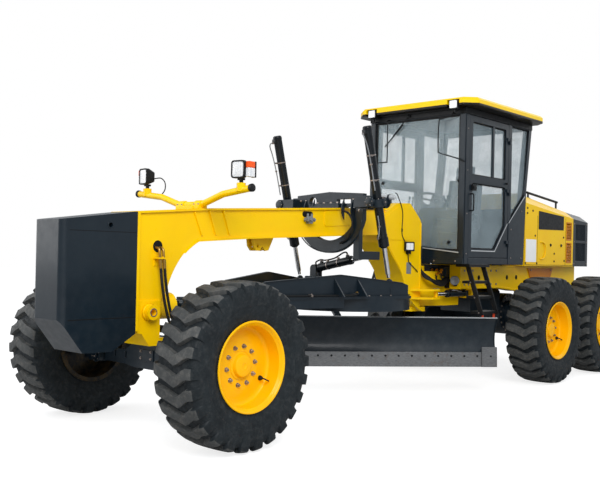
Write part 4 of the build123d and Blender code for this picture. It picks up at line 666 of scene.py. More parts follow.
def wheel_set():
    for index, (end, side) in enumerate((end, side) for end in AXLES for side in ("left", "right")):
        name, sign = end + "_" + side, 1 if side == "left" else -1
        tyre_piece(name, sign, AXLES[end], 0.04 * index)
        rim_piece(name, sign, AXLES[end])


# ---------------------------------------------------------------- nose, beam, lamps
def side_strip(piece, start, end, x, width, proud):
    """Flat strip on the beam's side between two (y, z) points."""
    (a, b), (c, d) = start, end
    along = Vector((0, c - a, d - b)).normalized()
    across = Vector((0, -along.z, along.y)) * width / 2
    corners = [Vector((x, a, b)) - across, Vector((x, c, d)) - across, Vector((x, c, d)) + across,
            Vector((x, a, b)) + across]
    piece.prism(corners, (proud, 0, 0))


def nose_details():
    """Ribs, raised plates, hose port, oblong opening and valve on the gooseneck's sides."""
    ribs = Piece()
    for start, end in (((-3.078, 1.927), (-2.984, 1.718)), ((-2.9, 1.947), (-2.816, 1.729)),
            ((-2.73, 1.96), (-2.643, 1.735))):
        side_strip(ribs, start, end, BEAM_SIDE, 0.016, 0.017)
    ribs.plate(rounded([(-1.28, 1.868), (-0.72, 1.905), (-0.72, 2.068), (-1.28, 2.036)], 0.05), BEAM_SIDE,
            0.008)
    ribs.plate(rounded([(-3.722, 0.885), (-3.48, 0.885), (-3.455, 1.145), (-3.722, 1.125)], 0.012), BEAM_SIDE,
            0.01)
    ribs.plate(rounded([(-3.728, 0.89), (-3.7, 0.89), (-3.7, 1.895), (-3.728, 1.89)], 0.004), BEAM_SIDE,
            0.044)
    ribs.mirrored().emit("beam_ribs", "yellow", "front_frame", bevel=0.004)
    rims = Piece()
    ring = [(BEAM_SIDE, 0.052), (0.165, 0.052), (0.165, 0.062), (BEAM_SIDE, 0.062)]
    rims.lathe(ring, (0, -3.483, 1.607), LEFT, 40, closed=True)
    rims.emit("hose_port_rim", "yellow", "front_frame", bevel=0.001)
    # flat dark discs in the hose port and the oblong opening: painted shade inside the holes
    hole = Piece()
    hole.turned([(0.1595, 0.052), (0.1615, 0.052)], (0, -3.483, 1.607), LEFT, 40)
    hole.prism(oblong(0.1602, -1.542, 1.985, 0.165, 0.062), (0.0015, 0, 0))
    hole.emit("beam_openings", "dark", "front_frame", bevel=0)
    valve = Piece()
    valve.box((0.163, -1.6, 1.908), (0.222, -1.49, 1.948))
    valve.box((0.163, -1.565, 1.888), (0.215, -1.52, 1.965))
    for y in (-1.575, -1.515):
        valve.rod((0.19, y, 1.945), (0.19, y + 0.004, 1.99), 0.011, 14)
        valve.hexagon((0.19, y, 1.945), UP, 0.016, 0.014)
        valve.rod((0.2, y, 1.928), (0.245, y, 1.928), 0.012, 14)
    valve.rod((0.19, -1.62, 1.928), (0.19, -1.47, 1.928), 0.013, 14)
    valve.emit("beam_valve", "grey", "front_frame", bevel=0.002)


def oblong(x, y, z, length, height, steps=8):
    """Stadium outline on a plane of constant x."""
    half, radius = length / 2 - height / 2, height / 2
    points = []
    for centre, first in ((y + half, -90), (y - half, 90)):
        for step in range(steps + 1):
            angle = math.radians(first + 180 * step / steps)
            points.append((x, centre + radius * math.cos(angle), z + radius * math.sin(angle)))
    return points


def nose_hoses():
    """Two steering hoses from the port in the nose to the axle, with fittings and a clamp."""
    fittings, hoses = Piece(), Piece()
    for index, shift in enumerate((-0.021, 0.021)):
        y = -3.483 + shift
        route = [(0.165, y, 1.6), (0.205, y + 0.002, 1.585), (0.214, y + 0.004, 1.54),
                (0.215, y + 0.01, 1.49)]
        fittings.pipe(route, 0.011, 14)
        fittings.turned([(0, 0.016), (0.028, 0.016), (0.034, 0.012)], (0.215, y + 0.01, 1.495),
                (0, 0.1, -1), 16)
        fittings.turned([(0, 0.014), (0.05, 0.014)], (0.215, y + 0.013, 1.468), (0, 0.1, -1), 16)
        hoses.pipe([(0.215, y + 0.018, 1.425), (0.214, y + 0.035, 1.3), (0.212, y + 0.065, 1.15),
                (0.21, y + 0.11, 1.0), (0.2, y + 0.16, 0.9), (0.165, y + 0.185, 0.83),
                (0.13, y + 0.16, 0.79)], 0.0125, 14, 8)
    fittings.emit("nose_fittings", "brass", "front_frame", bevel=0.001)
    hoses.emit("nose_hoses", "hose", "front_frame", bevel=0)
    clamp = Piece().box((0.16, -3.53, 1.5), (0.232, -3.44, 1.512))
    clamp.box((0.16, -3.52, 1.44), (0.168, -3.45, 1.512))
    clamp.screw((0.224, -3.47, 1.512), UP, 0.007, 0.006)
    clamp.emit("nose_hose_clamp", "yellow", "front_frame", bevel=0.001)


def lamp_unit(name, side):
    """Square work lamp with a rim, ribbed lens, side marker and pivot, on the bar's stalk."""
    x, y, z = side * 0.66, -2.98, 2.29
    tilt = Matrix.Rotation(math.radians(side * 8), 3, "Z")
    shell, lens, marker = Piece(), Piece(), Piece()
    centre = Vector((x, y, z))
    def place(points):
        return [tilt @ (Vector(p) - centre) + centre for p in points]
    outline = rounded([(x - 0.073, z - 0.078), (x + 0.073, z - 0.078), (x + 0.073, z + 0.078),
            (x - 0.073, z + 0.078)], 0.03)
    inner = [((a - x) * 0.84 + x, (b - z) * 0.84 + z) for a, b in outline]
    back = [((a - x) * 0.6 + x, (b - z) * 0.62 + z) for a, b in outline]
    count = len(outline)
    rings = [(inner, y - 0.05), (inner, y - 0.057), (outline, y - 0.057), (outline, y - 0.02),
            (back, y + 0.052)]
    verts, faces = [], []
    for ring, depth in rings:
        verts += place([(a, depth, b) for a, b in ring])
    for row in range(len(rings) - 1):
        for index in range(count):
            after = (index + 1) % count
            faces.append((row * count + index, row * count + after, (row + 1) * count + after,
                    (row + 1) * count + index))
    faces.append([4 * count + index for index in range(count)])
    faces.append([index for index in range(count)])
    shell.put(verts, faces)
    shell.turned([(0, 0.018), (0.05, 0.018)], (x, y, 2.165), UP, 20)
    shell.box((x - 0.03, y - 0.02, 2.198), (x + 0.03, y + 0.02, 2.216))
    shell.emit("lamp_shell_" + name, "black", "front_frame", bevel=0.002)
    lens.put(place([(a, y - 0.052, b) for a, b in inner]) + place([(a, y - 0.049, b) for a, b in inner])
            + place([(x, y - 0.056, z)]), [(index, (index + 1) % count, 2 * count)
            for index in range(count)] + [(index, index + count, (index + 1) % count + count,
            (index + 1) % count) for index in range(count)])
    lens.emit("lamp_lens_" + name, "lens", "front_frame", bevel=0, angle=60)
    out = x + side * 0.073
    marker.box((min(out, out + side * 0.048), y - 0.038, z - 0.068), (max(out, out + side * 0.048),
            y + 0.04, z + 0.012), tilt, centre)
    marker.emit("marker_clear_" + name, "lens", "front_frame", bevel=0.008, segments=3)
    top = Piece().box((min(out, out + side * 0.048), y - 0.038, z + 0.012), (max(out, out + side * 0.048),
            y + 0.04, z + 0.068), tilt, centre)
    top.emit("marker_amber_" + name, "amber", "front_frame", bevel=0.008, segments=3)
    back_shell = Piece().box((min(out, out + side * 0.05), y + 0.04, z - 0.07),
            (max(out, out + side * 0.05), y + 0.056, z + 0.07), tilt, centre)
    back_shell.emit("marker_back_" + name, "black", "front_frame", bevel=0.005)
    mount = Piece().turned([(0, 0.04), (0.075, 0.04)], (x, y, 2.1), UP, 28)
    mount.emit("lamp_mount_" + name, "yellow", "front_frame")
    cap = Piece().turned([(0, 0.034), (0.03, 0.036), (0.036, 0.026)], (side * 0.775, y, 2.126),
            (side, 0, 0.1), 28)
    cap.emit("bar_cap_" + name, "black", "front_frame")


def lamps():
    lamp_unit("left", 1)
    lamp_unit("right", -1)
    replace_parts(bpy.data.objects["lamp_shell_left"], "front_lamps")
    wire = Piece().pipe([(-0.6, -2.955, 2.27), (-0.52, -2.93, 2.275), (-0.455, -2.93, 2.23),
            (-0.44, -2.94, 2.16), (-0.47, -2.96, 2.105)], 0.0055, 10, 8)
    wire.emit("lamp_wire", "hose", "front_frame", bevel=0)
    feet = Piece()
    for x in (-0.115, 0.115):
        feet.box((x - 0.045, -3.035, 1.958), (x + 0.045, -2.925, 1.998))
        feet.turned([(-0.04, 0.04), (0.04, 0.04)], (x, -2.98, 2.0), LEFT, 28)
    feet.emit("lamp_bar_feet", "yellow", "front_frame", bevel=0.004)
    bolts = Piece()
    for x in (-0.145, -0.085, 0.085, 0.145):
        bolts.screw((x, -3.02, 1.998), UP, 0.009, 0.008)
    bolts.emit("lamp_bar_bolts", "grey", "front_frame", bevel=0.001)


# ---------------------------------------------------------------- saddle and lift cylinders
YOKE = Vector((0.642, -0.98, 2.13))
DOWN = Vector((0, 0.264089, -0.964498))
AHEAD = Vector((0, -0.964498, -0.264089))


def lift_point(down, out=0.0, ahead=0.0):
    """Point beside the left lift cylinder: down it, outboard of it and ahead of it."""
    return YOKE + DOWN * down + Vector((out, 0, 0)) + AHEAD * ahead


def lift_cylinders():
    """Caps, glands, ports, pipes and clamps on the lift cylinders, and their yokes' bands and bolts."""
    ends = Piece()
    ends.turned([(-0.806, 0.034), (-0.798, 0.046), (-0.788, 0.05), (-0.762, 0.05), (-0.758, 0.047)], YOKE,
            DOWN, 40)
    for low, high, radius in ((0.352, 0.362, 0.0515), (0.468, 0.476, 0.054), (0.476, 0.486, 0.04)):
        ends.ring((low, high), (0.026, radius), YOKE, DOWN, 40)
    for down in (-0.735, 0.372):
        ends.box(lift_point(down) + Vector((-0.02, -0.078, -0.022)), lift_point(down)
                + Vector((0.02, -0.03, 0.022)))
    ends.each_side("lift_ends", "gloss", "lift_barrel_{}", bevel=0.002)
    pipes = Piece()
    pipes.pipe([lift_point(-0.735, 0, 0.07), lift_point(-0.735, 0.012, 0.105),
            lift_point(-0.7, 0.03, 0.112), lift_point(-0.6, 0.036, 0.088), lift_point(-0.42, 0.036, 0.07),
            lift_point(-0.16, 0.036, 0.066), lift_point(-0.145, 0.036, 0.066)], 0.0065, 12, 8)
    pipes.pipe([lift_point(0.372, 0, 0.07), lift_point(0.36, 0.012, 0.096), lift_point(0.33, 0.022, 0.09),
            lift_point(0.24, 0.024, 0.064), lift_point(0.13, 0.024, 0.064)], 0.0065, 12, 8)
    pipes.each_side("lift_pipes", "grey", "lift_barrel_{}", bevel=0)
    nuts = Piece()
    for down, out, ahead, axis in ((-0.735, 0, 0.078, AHEAD), (0.372, 0, 0.078, AHEAD),
            (-0.42, 0.036, 0.07, DOWN), (0.24, 0.024, 0.064, DOWN)):
        nuts.hexagon(lift_point(down, out, ahead), axis, 0.014, 0.016)
    for down in (-0.5, -0.24):
        nuts.ring((down - 0.006, down + 0.006), (0.047, 0.0505), YOKE, DOWN, 40)
        nuts.box(lift_point(down, 0.03, 0.045) + Vector((-0.012, -0.022, -0.008)),
                lift_point(down, 0.03, 0.045) + Vector((0.016, 0.016, 0.008)))
    nuts.each_side("lift_clamps", "nut", "lift_barrel_{}", bevel=0.0008)
    wiper = Piece().lathe([(0.486, 0.0256), (0.486, 0.036), (0.492, 0.031), (0.492, 0.0256)], YOKE, DOWN,
            36, closed=True)
    wiper.each_side("lift_wiper_ring", "hose", "lift_barrel_{}", bevel=0)
    yoke = Piece()
    for down in (-0.038, 0.038):
        yoke.ring((down - 0.004, down + 0.004), (0.068, 0.0855), YOKE, DOWN, 48)
    for sign in (1, -1):
        yoke.turned([(0.0863, 0.034), (0.094, 0.03)], YOKE, (sign, 0, 0), 28)
    yoke.each_side("yoke_bands", "charcoal", "lift_yoke_{}", bevel=0.0015)
    studs = Piece()
    studs.bolt_ring(YOKE - DOWN * 0.042, -DOWN, 0.072, 8, 0.006, 0.006)
    for sign in (1, -1):
        studs.hexagon(YOKE + Vector((sign * 0.094, 0, 0)), (sign, 0, 0), 0.012, 0.008)
    studs.each_side("yoke_studs", "nut", "lift_yoke_{}", bevel=0.0006)
    caps = Piece()
    for sign in (1, -1):
        face = Vector((0.642, -0.98 + sign * 0.148, 2.13))
        caps.turned([(0, 0.052), (0.01, 0.052), (0.016, 0.04)], face, (0, sign, 0), 36)
    caps.each_side("trunnion_caps", "charcoal", "front_frame", bevel=0.0015)
    studs = Piece()
    for sign in (1, -1):
        studs.bolt_ring((0.642, -0.98 + sign * 0.158, 2.13), (0, sign, 0), 0.043, 6, 0.005, 0.005, 0.3)
    studs.each_side("trunnion_bolts", "nut", "front_frame", bevel=0.0005)
    cup = Piece().turned([(0, 0.058), (0.014, 0.058), (0.02, 0.048)], (0.642, -0.75, 1.23), UP, 40)
    cup.each_side("ball_collar", "charcoal", "drawbar", bevel=0.0015)
    studs = Piece()
    studs.bolt_ring((0.642, -0.75, 1.243), UP, 0.051, 6, 0.006, 0.006)
    studs.each_side("ball_collar_bolts", "nut", "drawbar", bevel=0.0005)


def saddle_details():
    """Seat bolts, stiffening ribs, hose along the ring, lock-pin cylinder and its cable."""
    ribs = Piece()
    for x in (0.205, 0.33):
        ribs.prism([(x, -1.01, 1.95), (x, -1.052, 2.02), (x, -1.052, 2.105), (x, -1.01, 2.19)],
                (0.014, 0, 0))
    ribs.box((0.335, -1.028, 1.86), (0.352, -1.008, 2.08))
    ribs.mirrored()
    ribs.box((-0.17, -1.062, 2.108), (0.17, -0.898, 2.132))
    ribs.emit("saddle_ribs", "charcoal", "front_frame")
    edge, count, rim = [], 28, []
    for index in range(count + 1):
        angle = math.pi * index / count
        edge.append((0.462 * math.cos(angle), -1.014, 1.95 - 0.352 * math.sin(angle)))
        rim.append((0.352 * math.cos(angle), -0.98, 1.948 - 0.226 * math.sin(angle)))
    Piece().pipe(edge, 0.0065, 10, 1).emit("saddle_edge_bead", "charcoal", "front_frame", bevel=0)
    lining = Piece()
    for a, b in zip(rim, rim[1:]):
        lining.prism([(a[0], -1.006, a[2] + 0.001), (b[0], -1.006, b[2] + 0.001),
                (b[0], -1.006, b[2] - 0.002), (a[0], -1.006, a[2] - 0.002)], (0, 0.052, 0))
    lining.emit("saddle_inner_edge", "brown", "front_frame", bevel=0)
    bolts = Piece()
    for x in (-0.14, -0.05, 0.05, 0.14):
        for y in (-1.04, -0.922):
            bolts.screw((x, y, 2.132), UP, 0.013, 0.012)
    for x in (-0.42, -0.34, 0.34, 0.42):
        for z in (2.05, 2.17):
            bolts.screw((x, -1.01, z), FRONT, 0.01, 0.009)
    bolts.emit("saddle_bolts", "nut", "front_frame", bevel=0.0008)
    hose = Piece()
    hose.pipe([(0.2, -1.03, 2.045), (0.3, -1.045, 2.02), (0.352, -1.04, 1.93), (0.335, -1.035, 1.83),
            (0.27, -1.03, 1.74), (0.18, -1.03, 1.695)], 0.011, 12, 8)
    hose.pipe([(-0.2, -1.03, 2.06), (-0.32, -1.05, 2.01), (-0.36, -1.04, 1.9), (-0.32, -1.035, 1.8)],
            0.011, 12, 8)
    hose.emit("saddle_hoses", "hose", "front_frame", bevel=0)
    pin = Piece()
    pin.rod((0.5, -0.795, 2.215), (0.705, -0.795, 2.19), 0.026, 28)
    pin.rod((0.705, -0.795, 2.19), (0.735, -0.795, 2.186), 0.019, 24)
    pin.rod((0.478, -0.795, 2.218), (0.5, -0.795, 2.215), 0.019, 24)
    pin.emit("lock_pin_cylinder", "light_grey", "front_frame", bevel=0.002)
    foot = Piece()
    for x in (0.53, 0.655):
        foot.box((x - 0.012, -0.836, 2.13), (x + 0.012, -0.766, 2.185))
        foot.ring((-0.011, 0.011), (0.025, 0.032), (x, -0.795, 2.2115 - (x - 0.53) * 0.12), LEFT, 28)
    foot.emit("lock_pin_clamps", "charcoal", "front_frame", bevel=0.001)
    cable = Piece().pipe([(0.478, -0.795, 2.218), (0.44, -0.79, 2.2), (0.43, -0.82, 2.14),
            (0.435, -0.9, 2.08), (0.4, -0.94, 2.02)], 0.005, 10, 8)
    cable.emit("lock_pin_cable", "hose", "front_frame", bevel=0)


CENTRE_START = Vector((-0.45, -0.69, 1.41))
CENTRE_ALONG = Vector((0.979646, 0, 0.200953))


def centre_shift():
    """Gland, end cap, ports and hose of the centre-shift cylinder."""
    up = Vector((-0.200953, 0, 0.979646))
    ends = Piece()
    for low, high, radius in ((0.06, 0.082, 0.049), (0.5, 0.54, 0.05), (0.54, 0.548, 0.04)):
        ends.ring((low, high), (0.027, radius), CENTRE_START, CENTRE_ALONG, 40)
    for along in (0.098, 0.488):
        middle = CENTRE_START + CENTRE_ALONG * along + up * 0.052
        ends.box(middle + Vector((-0.016, -0.016, -0.012)), middle + Vector((0.016, 0.016, 0.014)))
    ends.emit("centre_ends", "gloss", "centre_barrel", bevel=0.002)
    lines = Piece()
    one = CENTRE_START + CENTRE_ALONG * 0.488 + up * 0.066
    points = [one, one + up * 0.03 - CENTRE_ALONG * 0.01, one + up * 0.035 - CENTRE_ALONG * 0.06,
            CENTRE_START + CENTRE_ALONG * 0.3 + up * 0.066, CENTRE_START + CENTRE_ALONG * 0.16
            + up * 0.066, CENTRE_START + CENTRE_ALONG * 0.06 + up * 0.09 + Vector((0, 0.03, 0)),
            CENTRE_START - CENTRE_ALONG * 0.03 + up * 0.075 + Vector((0, 0.045, 0)), CENTRE_START
            + Vector((-0.02, 0.052, 0.01))]
    lines.pipe(points, 0.009, 12, 8)
    lines.emit("centre_hose", "hose", "centre_barrel", bevel=0)
    fittings = Piece()
    for along in (0.098, 0.488):
        fittings.hexagon(CENTRE_START + CENTRE_ALONG * along + up * 0.064, up, 0.013, 0.014)
    for along in (0.19, 0.35):
        middle = CENTRE_START + CENTRE_ALONG * along
        fittings.ring((-0.006, 0.006), (0.0455, 0.0485), middle, CENTRE_ALONG, 36)
        fittings.box(middle + up * 0.048 + Vector((-0.01, -0.016, -0.004)), middle + up * 0.062
                + Vector((0.01, 0.016, 0.004)))
    fittings.emit("centre_fittings", "nut", "centre_barrel", bevel=0.0008)


# ---------------------------------------------------------------- drawbar, circle and blade
def leg_point(y, out, z):
    """Point beside the drawbar's left leg, out from the middle of its upright web."""
    return 0.3 * (y + 3.15) + out * 0.958, y - out * 0.287, z


def drawbar_details():
    """Pipes and clamps along a leg, gussets, drive gearbox, bolts, fittings, beads and the circle's teeth."""
    pipes = Piece()
    for index, out in enumerate((0.034, 0.052, 0.07)):
        pipes.pipe([leg_point(-2.7 + 0.05 * index, out, 1.16), leg_point(-2.2, out, 1.16),
                leg_point(-1.55, out, 1.16), leg_point(-1.33 + 0.02 * index, out + 0.01, 1.165),
                leg_point(-1.27, out + 0.03, 1.185)], 0.0075, 12, 4)
    pipes.emit("drawbar_pipes", "black", "drawbar", bevel=0)
    clamps = Piece()
    for y in (-2.5, -2.15, -1.8):
        clamps.prism([leg_point(y, 0.022, 1.147), leg_point(y, 0.084, 1.147), leg_point(y, 0.084, 1.171),
                leg_point(y, 0.022, 1.171)], (0, 0.026, 0))
        clamps.screw(leg_point(y + 0.013, 0.061, 1.171), UP, 0.006, 0.005)
    clamps.emit("drawbar_clamps", "nut", "drawbar", bevel=0.001)
    ribs = Piece()
    for y in (-1.507, -1.237):
        x = 0.3 * (y + 3.15)
        ribs.prism([(x + 0.01, y, 1.148), (x + 0.01, y, 1.338), (x + 0.15, y, 1.148)], (0, 0.02, 0))
    ribs.prism([leg_point(-2.27, -0.014, 1.284), leg_point(-2.27, 0.024, 1.284),
            leg_point(-1.42, 0.024, 1.36), leg_point(-1.42, -0.014, 1.36)], (0, 0, 0.01))
    ribs.prism([leg_point(-1.42, -0.024, 1.36), leg_point(-1.42, 0.024, 1.36),
            leg_point(-0.66, 0.024, 1.28), leg_point(-0.66, -0.024, 1.28)], (0, 0, 0.01))
    ribs.mirrored().emit("drawbar_gussets", "charcoal", "drawbar", bevel=0.002)
    drive = Piece()
    drive.turned([(0, 0.105), (0.018, 0.105), (0.018, 0.088), (0.075, 0.084), (0.09, 0.06), (0.11, 0.06)],
            (0, -1.32, 1.147), UP, 48)
    drive.turned([(0.11, 0.046), (0.185, 0.046), (0.193, 0.038)], (0, -1.32, 1.147), UP, 36)
    drive.box((-0.03, -1.39, 1.275), (0.03, -1.34, 1.32))
    drive.emit("circle_drive", "charcoal", "drawbar", bevel=0.002)
    bolts = Piece()
    bolts.bolt_ring((0, -1.32, 1.165), UP, 0.097, 10, 0.007, 0.007)
    bolts.bolt_ring((0, -0.75, 1.148), UP, 0.722, 32, 0.01, 0.008, 0.1)
    bolts.emit("drawbar_bolts", "nut", "drawbar", bevel=0.0006)
    brass = Piece()
    for place, axis in (((0.555, -1.305, 1.165), (0.3, 1, 0.2)), ((0.59, -1.255, 1.18), (0.3, 1, 0.4)),
            ((0.02, -1.395, 1.3), FRONT), ((-0.02, -1.395, 1.3), FRONT)):
        brass.hexagon(place, axis, 0.012, 0.026)
        brass.rod(place, Vector(place) + Vector(axis).normalized() * 0.045, 0.008, 14)
    brass.emit("drawbar_fittings", "brass", "drawbar", bevel=0.0006)
    skirt = Piece()
    skirt.ring((-0.002, 0.012), (0.738, 0.7505), (0, -0.75, 0.987), UP, 96)
    skirt.ring((0, 0.009), (0.738, 0.7505), (0, -0.75, 1.139), UP, 96)
    skirt.emit("circle_guard_beads", "charcoal", "drawbar", bevel=0.001)
    teeth = Piece()
    for index in range(72):
        angle = 2 * math.pi * index / 72
        turn = Matrix.Rotation(angle, 3, "Z")
        shape = [(-0.016, 0.571), (0.016, 0.571), (0.008, 0.545), (-0.008, 0.545)]
        teeth.prism([turn @ Vector((a, b, 0)) + Vector((0, -0.75, 0.99)) for a, b in shape],
                (0, 0, 0.075))
    teeth.emit("circle_teeth", "steel", "circle", bevel=0.001)


def on_blade(x, y, z):
    """Place a point drawn square to the blade, about the circle's centre."""
    cosine, sine = math.cos(math.radians(50)), math.sin(math.radians(50))
    return Vector((x * cosine - y * sine, x * sine + y * cosine - 0.75, z))


def board_arc(z, low=0.466, high=0.894):
    """Depth of the moldboard's hollow face at a height."""
    t = (z - low) / (high - low)
    one, two, three = (0.0, -0.078), (0.514, -0.022), (1.0, -0.124)
    total = 0.0
    for (a, va), (b, vb), (c, vc) in ((one, two, three), (two, one, three), (three, one, two)):
        total += va * (t - b) * (t - c) / ((a - b) * (a - c))
    return total


def blade_details():
    """Plough bolts, light top lip and end plates of the blade."""
    ahead = (on_blade(0, -1, 0) - on_blade(0, 0, 0)).normalized()
    bolts = Piece()
    for index in range(24):
        x = -0.05 - 1.83 + 0.075 + index * 3.51 / 23
        rise = 0.735
        deep = 0.098 + (0.1 - 0.086) * (1 - rise) + (0.018 if abs(x + 0.05) > 1.65 else 0)
        bolts.turned([(-0.004, 0.013), (0.0025, 0.012), (0.005, 0.007)],
                on_blade(x, -deep, 0.336 + 0.165 * rise), ahead, 16)
    bolts.emit("edge_bolts", "black", "blade", bevel=0)
    lip, half = Piece(), 1.83
    lip.prism([on_blade(-0.05 - half, -0.126, 0.8865), on_blade(-0.05 + half, -0.126, 0.8865),
            on_blade(-0.05 + half, -0.102, 0.8945), on_blade(-0.05 - half, -0.102, 0.8945)],
            (0, 0, 0.0035))
    lip.emit("blade_top_lip", "light_grey", "blade", bevel=0.001)
    ends = Piece()
    for end in (-1, 1):
        x = -0.05 + end * (half - 0.0055)
        steps = [0.47 + 0.42 * index / 10 for index in range(11)]
        outline = [on_blade(x, board_arc(z) - 0.014, z) for z in steps]
        outline += [on_blade(x, board_arc(z) + 0.024, z) for z in reversed(steps)]
        along = (on_blade(end, 0, 0) - on_blade(0, 0, 0)) * 0.0055
        for row in range(10):
            ends.prism([outline[row], outline[row + 1], outline[20 - row], outline[21 - row]], along)
    ends.emit("blade_end_plates", "charcoal", "blade", bevel=0)


# ---------------------------------------------------------------- rear leg and articulation
def leg_details():
    """Work lamp and its wire, plates, edges, bolts and hoses of the rear leg."""
    lamp, lens = Piece(), Piece()
    ahead, along = Vector((0.8, -0.6, 0)), Vector((0.6, 0.8, 0))
    for piece, low, depth, wide, tall in ((lamp, 0.0, 0.05, 0.06, 0.056),
            (lens, 0.0495, 0.006, 0.044, 0.04)):
        outline = rounded([(-wide, -tall), (wide, -tall), (wide, tall), (-wide, tall)], 0.014)
        piece.prism([Vector((0.222, 0.205, 1.69)) + along * a + Vector((0, 0, b)) + ahead * low for a,
                b in outline], ahead * depth)
    lamp.box((0.192, 0.19, 1.6), (0.236, 0.24, 1.66))
    lamp.emit("leg_lamp", "black", "front_frame", bevel=0.004)
    lens.emit("leg_lamp_lens", "lens", "front_frame", bevel=0.002)
    wire = Piece()
    wire.pipe([(0.2, -0.05, 2.31), (0.206, -0.009, 2.277), (0.206, 0.092, 2.095), (0.206, 0.087, 1.846),
            (0.212, 0.15, 1.74)], 0.0055, 10, 6)
    wire.pipe([(0.212, 0.205, 1.64), (0.208, 0.225, 1.56), (0.206, 0.243, 1.505), (0.206, 0.33, 1.45),
            (0.206, 0.416, 1.398), (0.17, 0.47, 1.37)], 0.0055, 10, 6)
    wire.turned([(0, 0.01), (0.04, 0.01)], (0.206, 0.087, 1.9), DOWNWARD, 12)
    wire.emit("leg_lamp_wire", "hose", "front_frame", bevel=0)
    plate = Piece()
    plate.plate(rounded([(0.205, 1.365), (0.3, 1.365), (0.3, 1.5), (0.205, 1.5)], 0.008), 0.194, 0.005)
    plate.emit("leg_blank_plate", "grey", "front_frame", bevel=0.0008)
    trims = Piece()
    trims.plate(rounded([(-0.2, 1.76), (0.44, 1.76), (0.44, 1.99), (0.26, 2.16), (0.0, 2.15),
            (-0.235, 2.02)], 0.03), 0.194, 0.007)
    side_strip(trims, (0.495, 1.02), (0.495, 1.98), 0.18, 0.02, 0.022)
    side_strip(trims, (-0.205, 1.745), (0.1, 1.405), 0.18, 0.02, 0.022)
    side_strip(trims, (0.1, 1.405), (0.176, 1.24), 0.18, 0.02, 0.022)
    trims.mirrored()
    trims.emit("leg_edges", "yellow", "front_frame")
    bolts = Piece()
    for y, z in ((0.215, 1.375), (0.29, 1.375), (0.215, 1.49), (0.29, 1.49)):
        bolts.lathe([(0, 0), (0, 0.005), (0.002, 0.004), (0.003, 0)], (0.199, y, z), LEFT, 12)
    for x in (-0.33, 0.33):
        bolts.bolt_ring((x, 0.65, 1.182), UP, 0.034, 6, 0.006, 0.006)
    bolts.bolt_ring((0, 0.65, 1.462), UP, 0.088, 10, 0.009, 0.008)
    bolts.emit("leg_bolts", "nut", "front_frame", bevel=0.0006)
    front, rear, sleeve = Piece(), Piece(), Piece()
    for index in range(5):
        x = 0.15 + 0.004 * index
        low = 1.34 - 0.012 * index
        meet = 0.235 + 0.012 * index, 0.64, low - 0.02
        front.pipe([(0.15 + 0.011 * index, 0.5, 1.66 - 0.02 * index), (x, 0.518, 1.63 - 0.02 * index),
                (x, 0.52, 1.5), (x + 0.02, 0.58, low + 0.05), meet], 0.0125, 12, 8)
        rear.pipe([meet, (0.245 + 0.012 * index, 0.72, low - 0.055),
                (0.26 + 0.01 * index, 0.85, low - 0.07), (0.26 + 0.01 * index, 0.95, low - 0.03),
                (0.262 + 0.008 * index, 1.06, low)], 0.0125, 12, 8)
        if index % 2 == 0:
            sleeve.pipe([(x, 0.5185, 1.56), (x, 0.519, 1.53), (x + 0.001, 0.52, 1.49)], 0.0142, 14, 4)
    front.emit("leg_hoses", "hose", "front_frame", bevel=0)
    rear.emit("frame_hoses", "hose", "rear_frame", bevel=0)
    sleeve.emit("hose_sleeves", "red_orange", "front_frame", bevel=0.001)
    ports = Piece()
    ports.box((0.14, 0.496, 1.54), (0.215, 0.512, 1.7))
    for index in range(5):
        ports.hexagon((0.15 + 0.011 * index, 0.506, 1.66 - 0.02 * index), REAR, 0.012, 0.02)
    ports.emit("leg_bulkhead", "charcoal", "front_frame", bevel=0.001)


def steering_cylinders():
    """Glands, end caps and ports of the two articulation cylinders."""
    ends = Piece()
    for low, high, radius in ((0.88, 0.892, 0.034), (0.892, 0.925, 0.046), (1.262, 1.282, 0.044)):
        ends.ring((low, high), (0.0255, radius), (0.33, 0, 1.12), REAR, 40)
    for y in (0.94, 1.24):
        ends.box((0.345, y - 0.018, 1.145), (0.381, y + 0.018, 1.175))
    ends.each_side("steer_ends", "gloss", "articulation_barrel_{}", bevel=0.002)
    pipes = Piece().pipe([(0.375, 0.94, 1.165), (0.4, 0.945, 1.165), (0.402, 0.99, 1.165),
            (0.385, 1.08, 1.15), (0.382, 1.16, 1.148)], 0.0075, 12, 8)
    pipes.each_side("steer_pipes", "grey", "articulation_barrel_{}", bevel=0)
    caps = Piece()
    caps.turned([(0, 0.03), (0.008, 0.027)], (0.33, 1.33, 1.0595), DOWNWARD, 28)
    caps.each_side("steer_pin_caps", "charcoal", "rear_frame", bevel=0.001)


def horn():
    """Round grey horn on its bracket ahead of the left rail."""
    piece = Piece().turned([(0, 0.03), (0.014, 0.052), (0.03, 0.058), (0.044, 0.058), (0.05, 0.05),
            (0.046, 0.03), (0.036, 0.014)], (0.385, 1.004, 1.285), (0.25, -1, 0), 40)
    piece.emit("horn", "grey", "rear_frame", bevel=0.001)
    foot = Piece().box((0.365, 0.99, 1.215), (0.405, 1.012, 1.285))
    foot.screw((0.385, 0.99, 1.23), FRONT, 0.007, 0.006)
    foot.emit("horn_bracket", "black", "rear_frame", bevel=0.001)


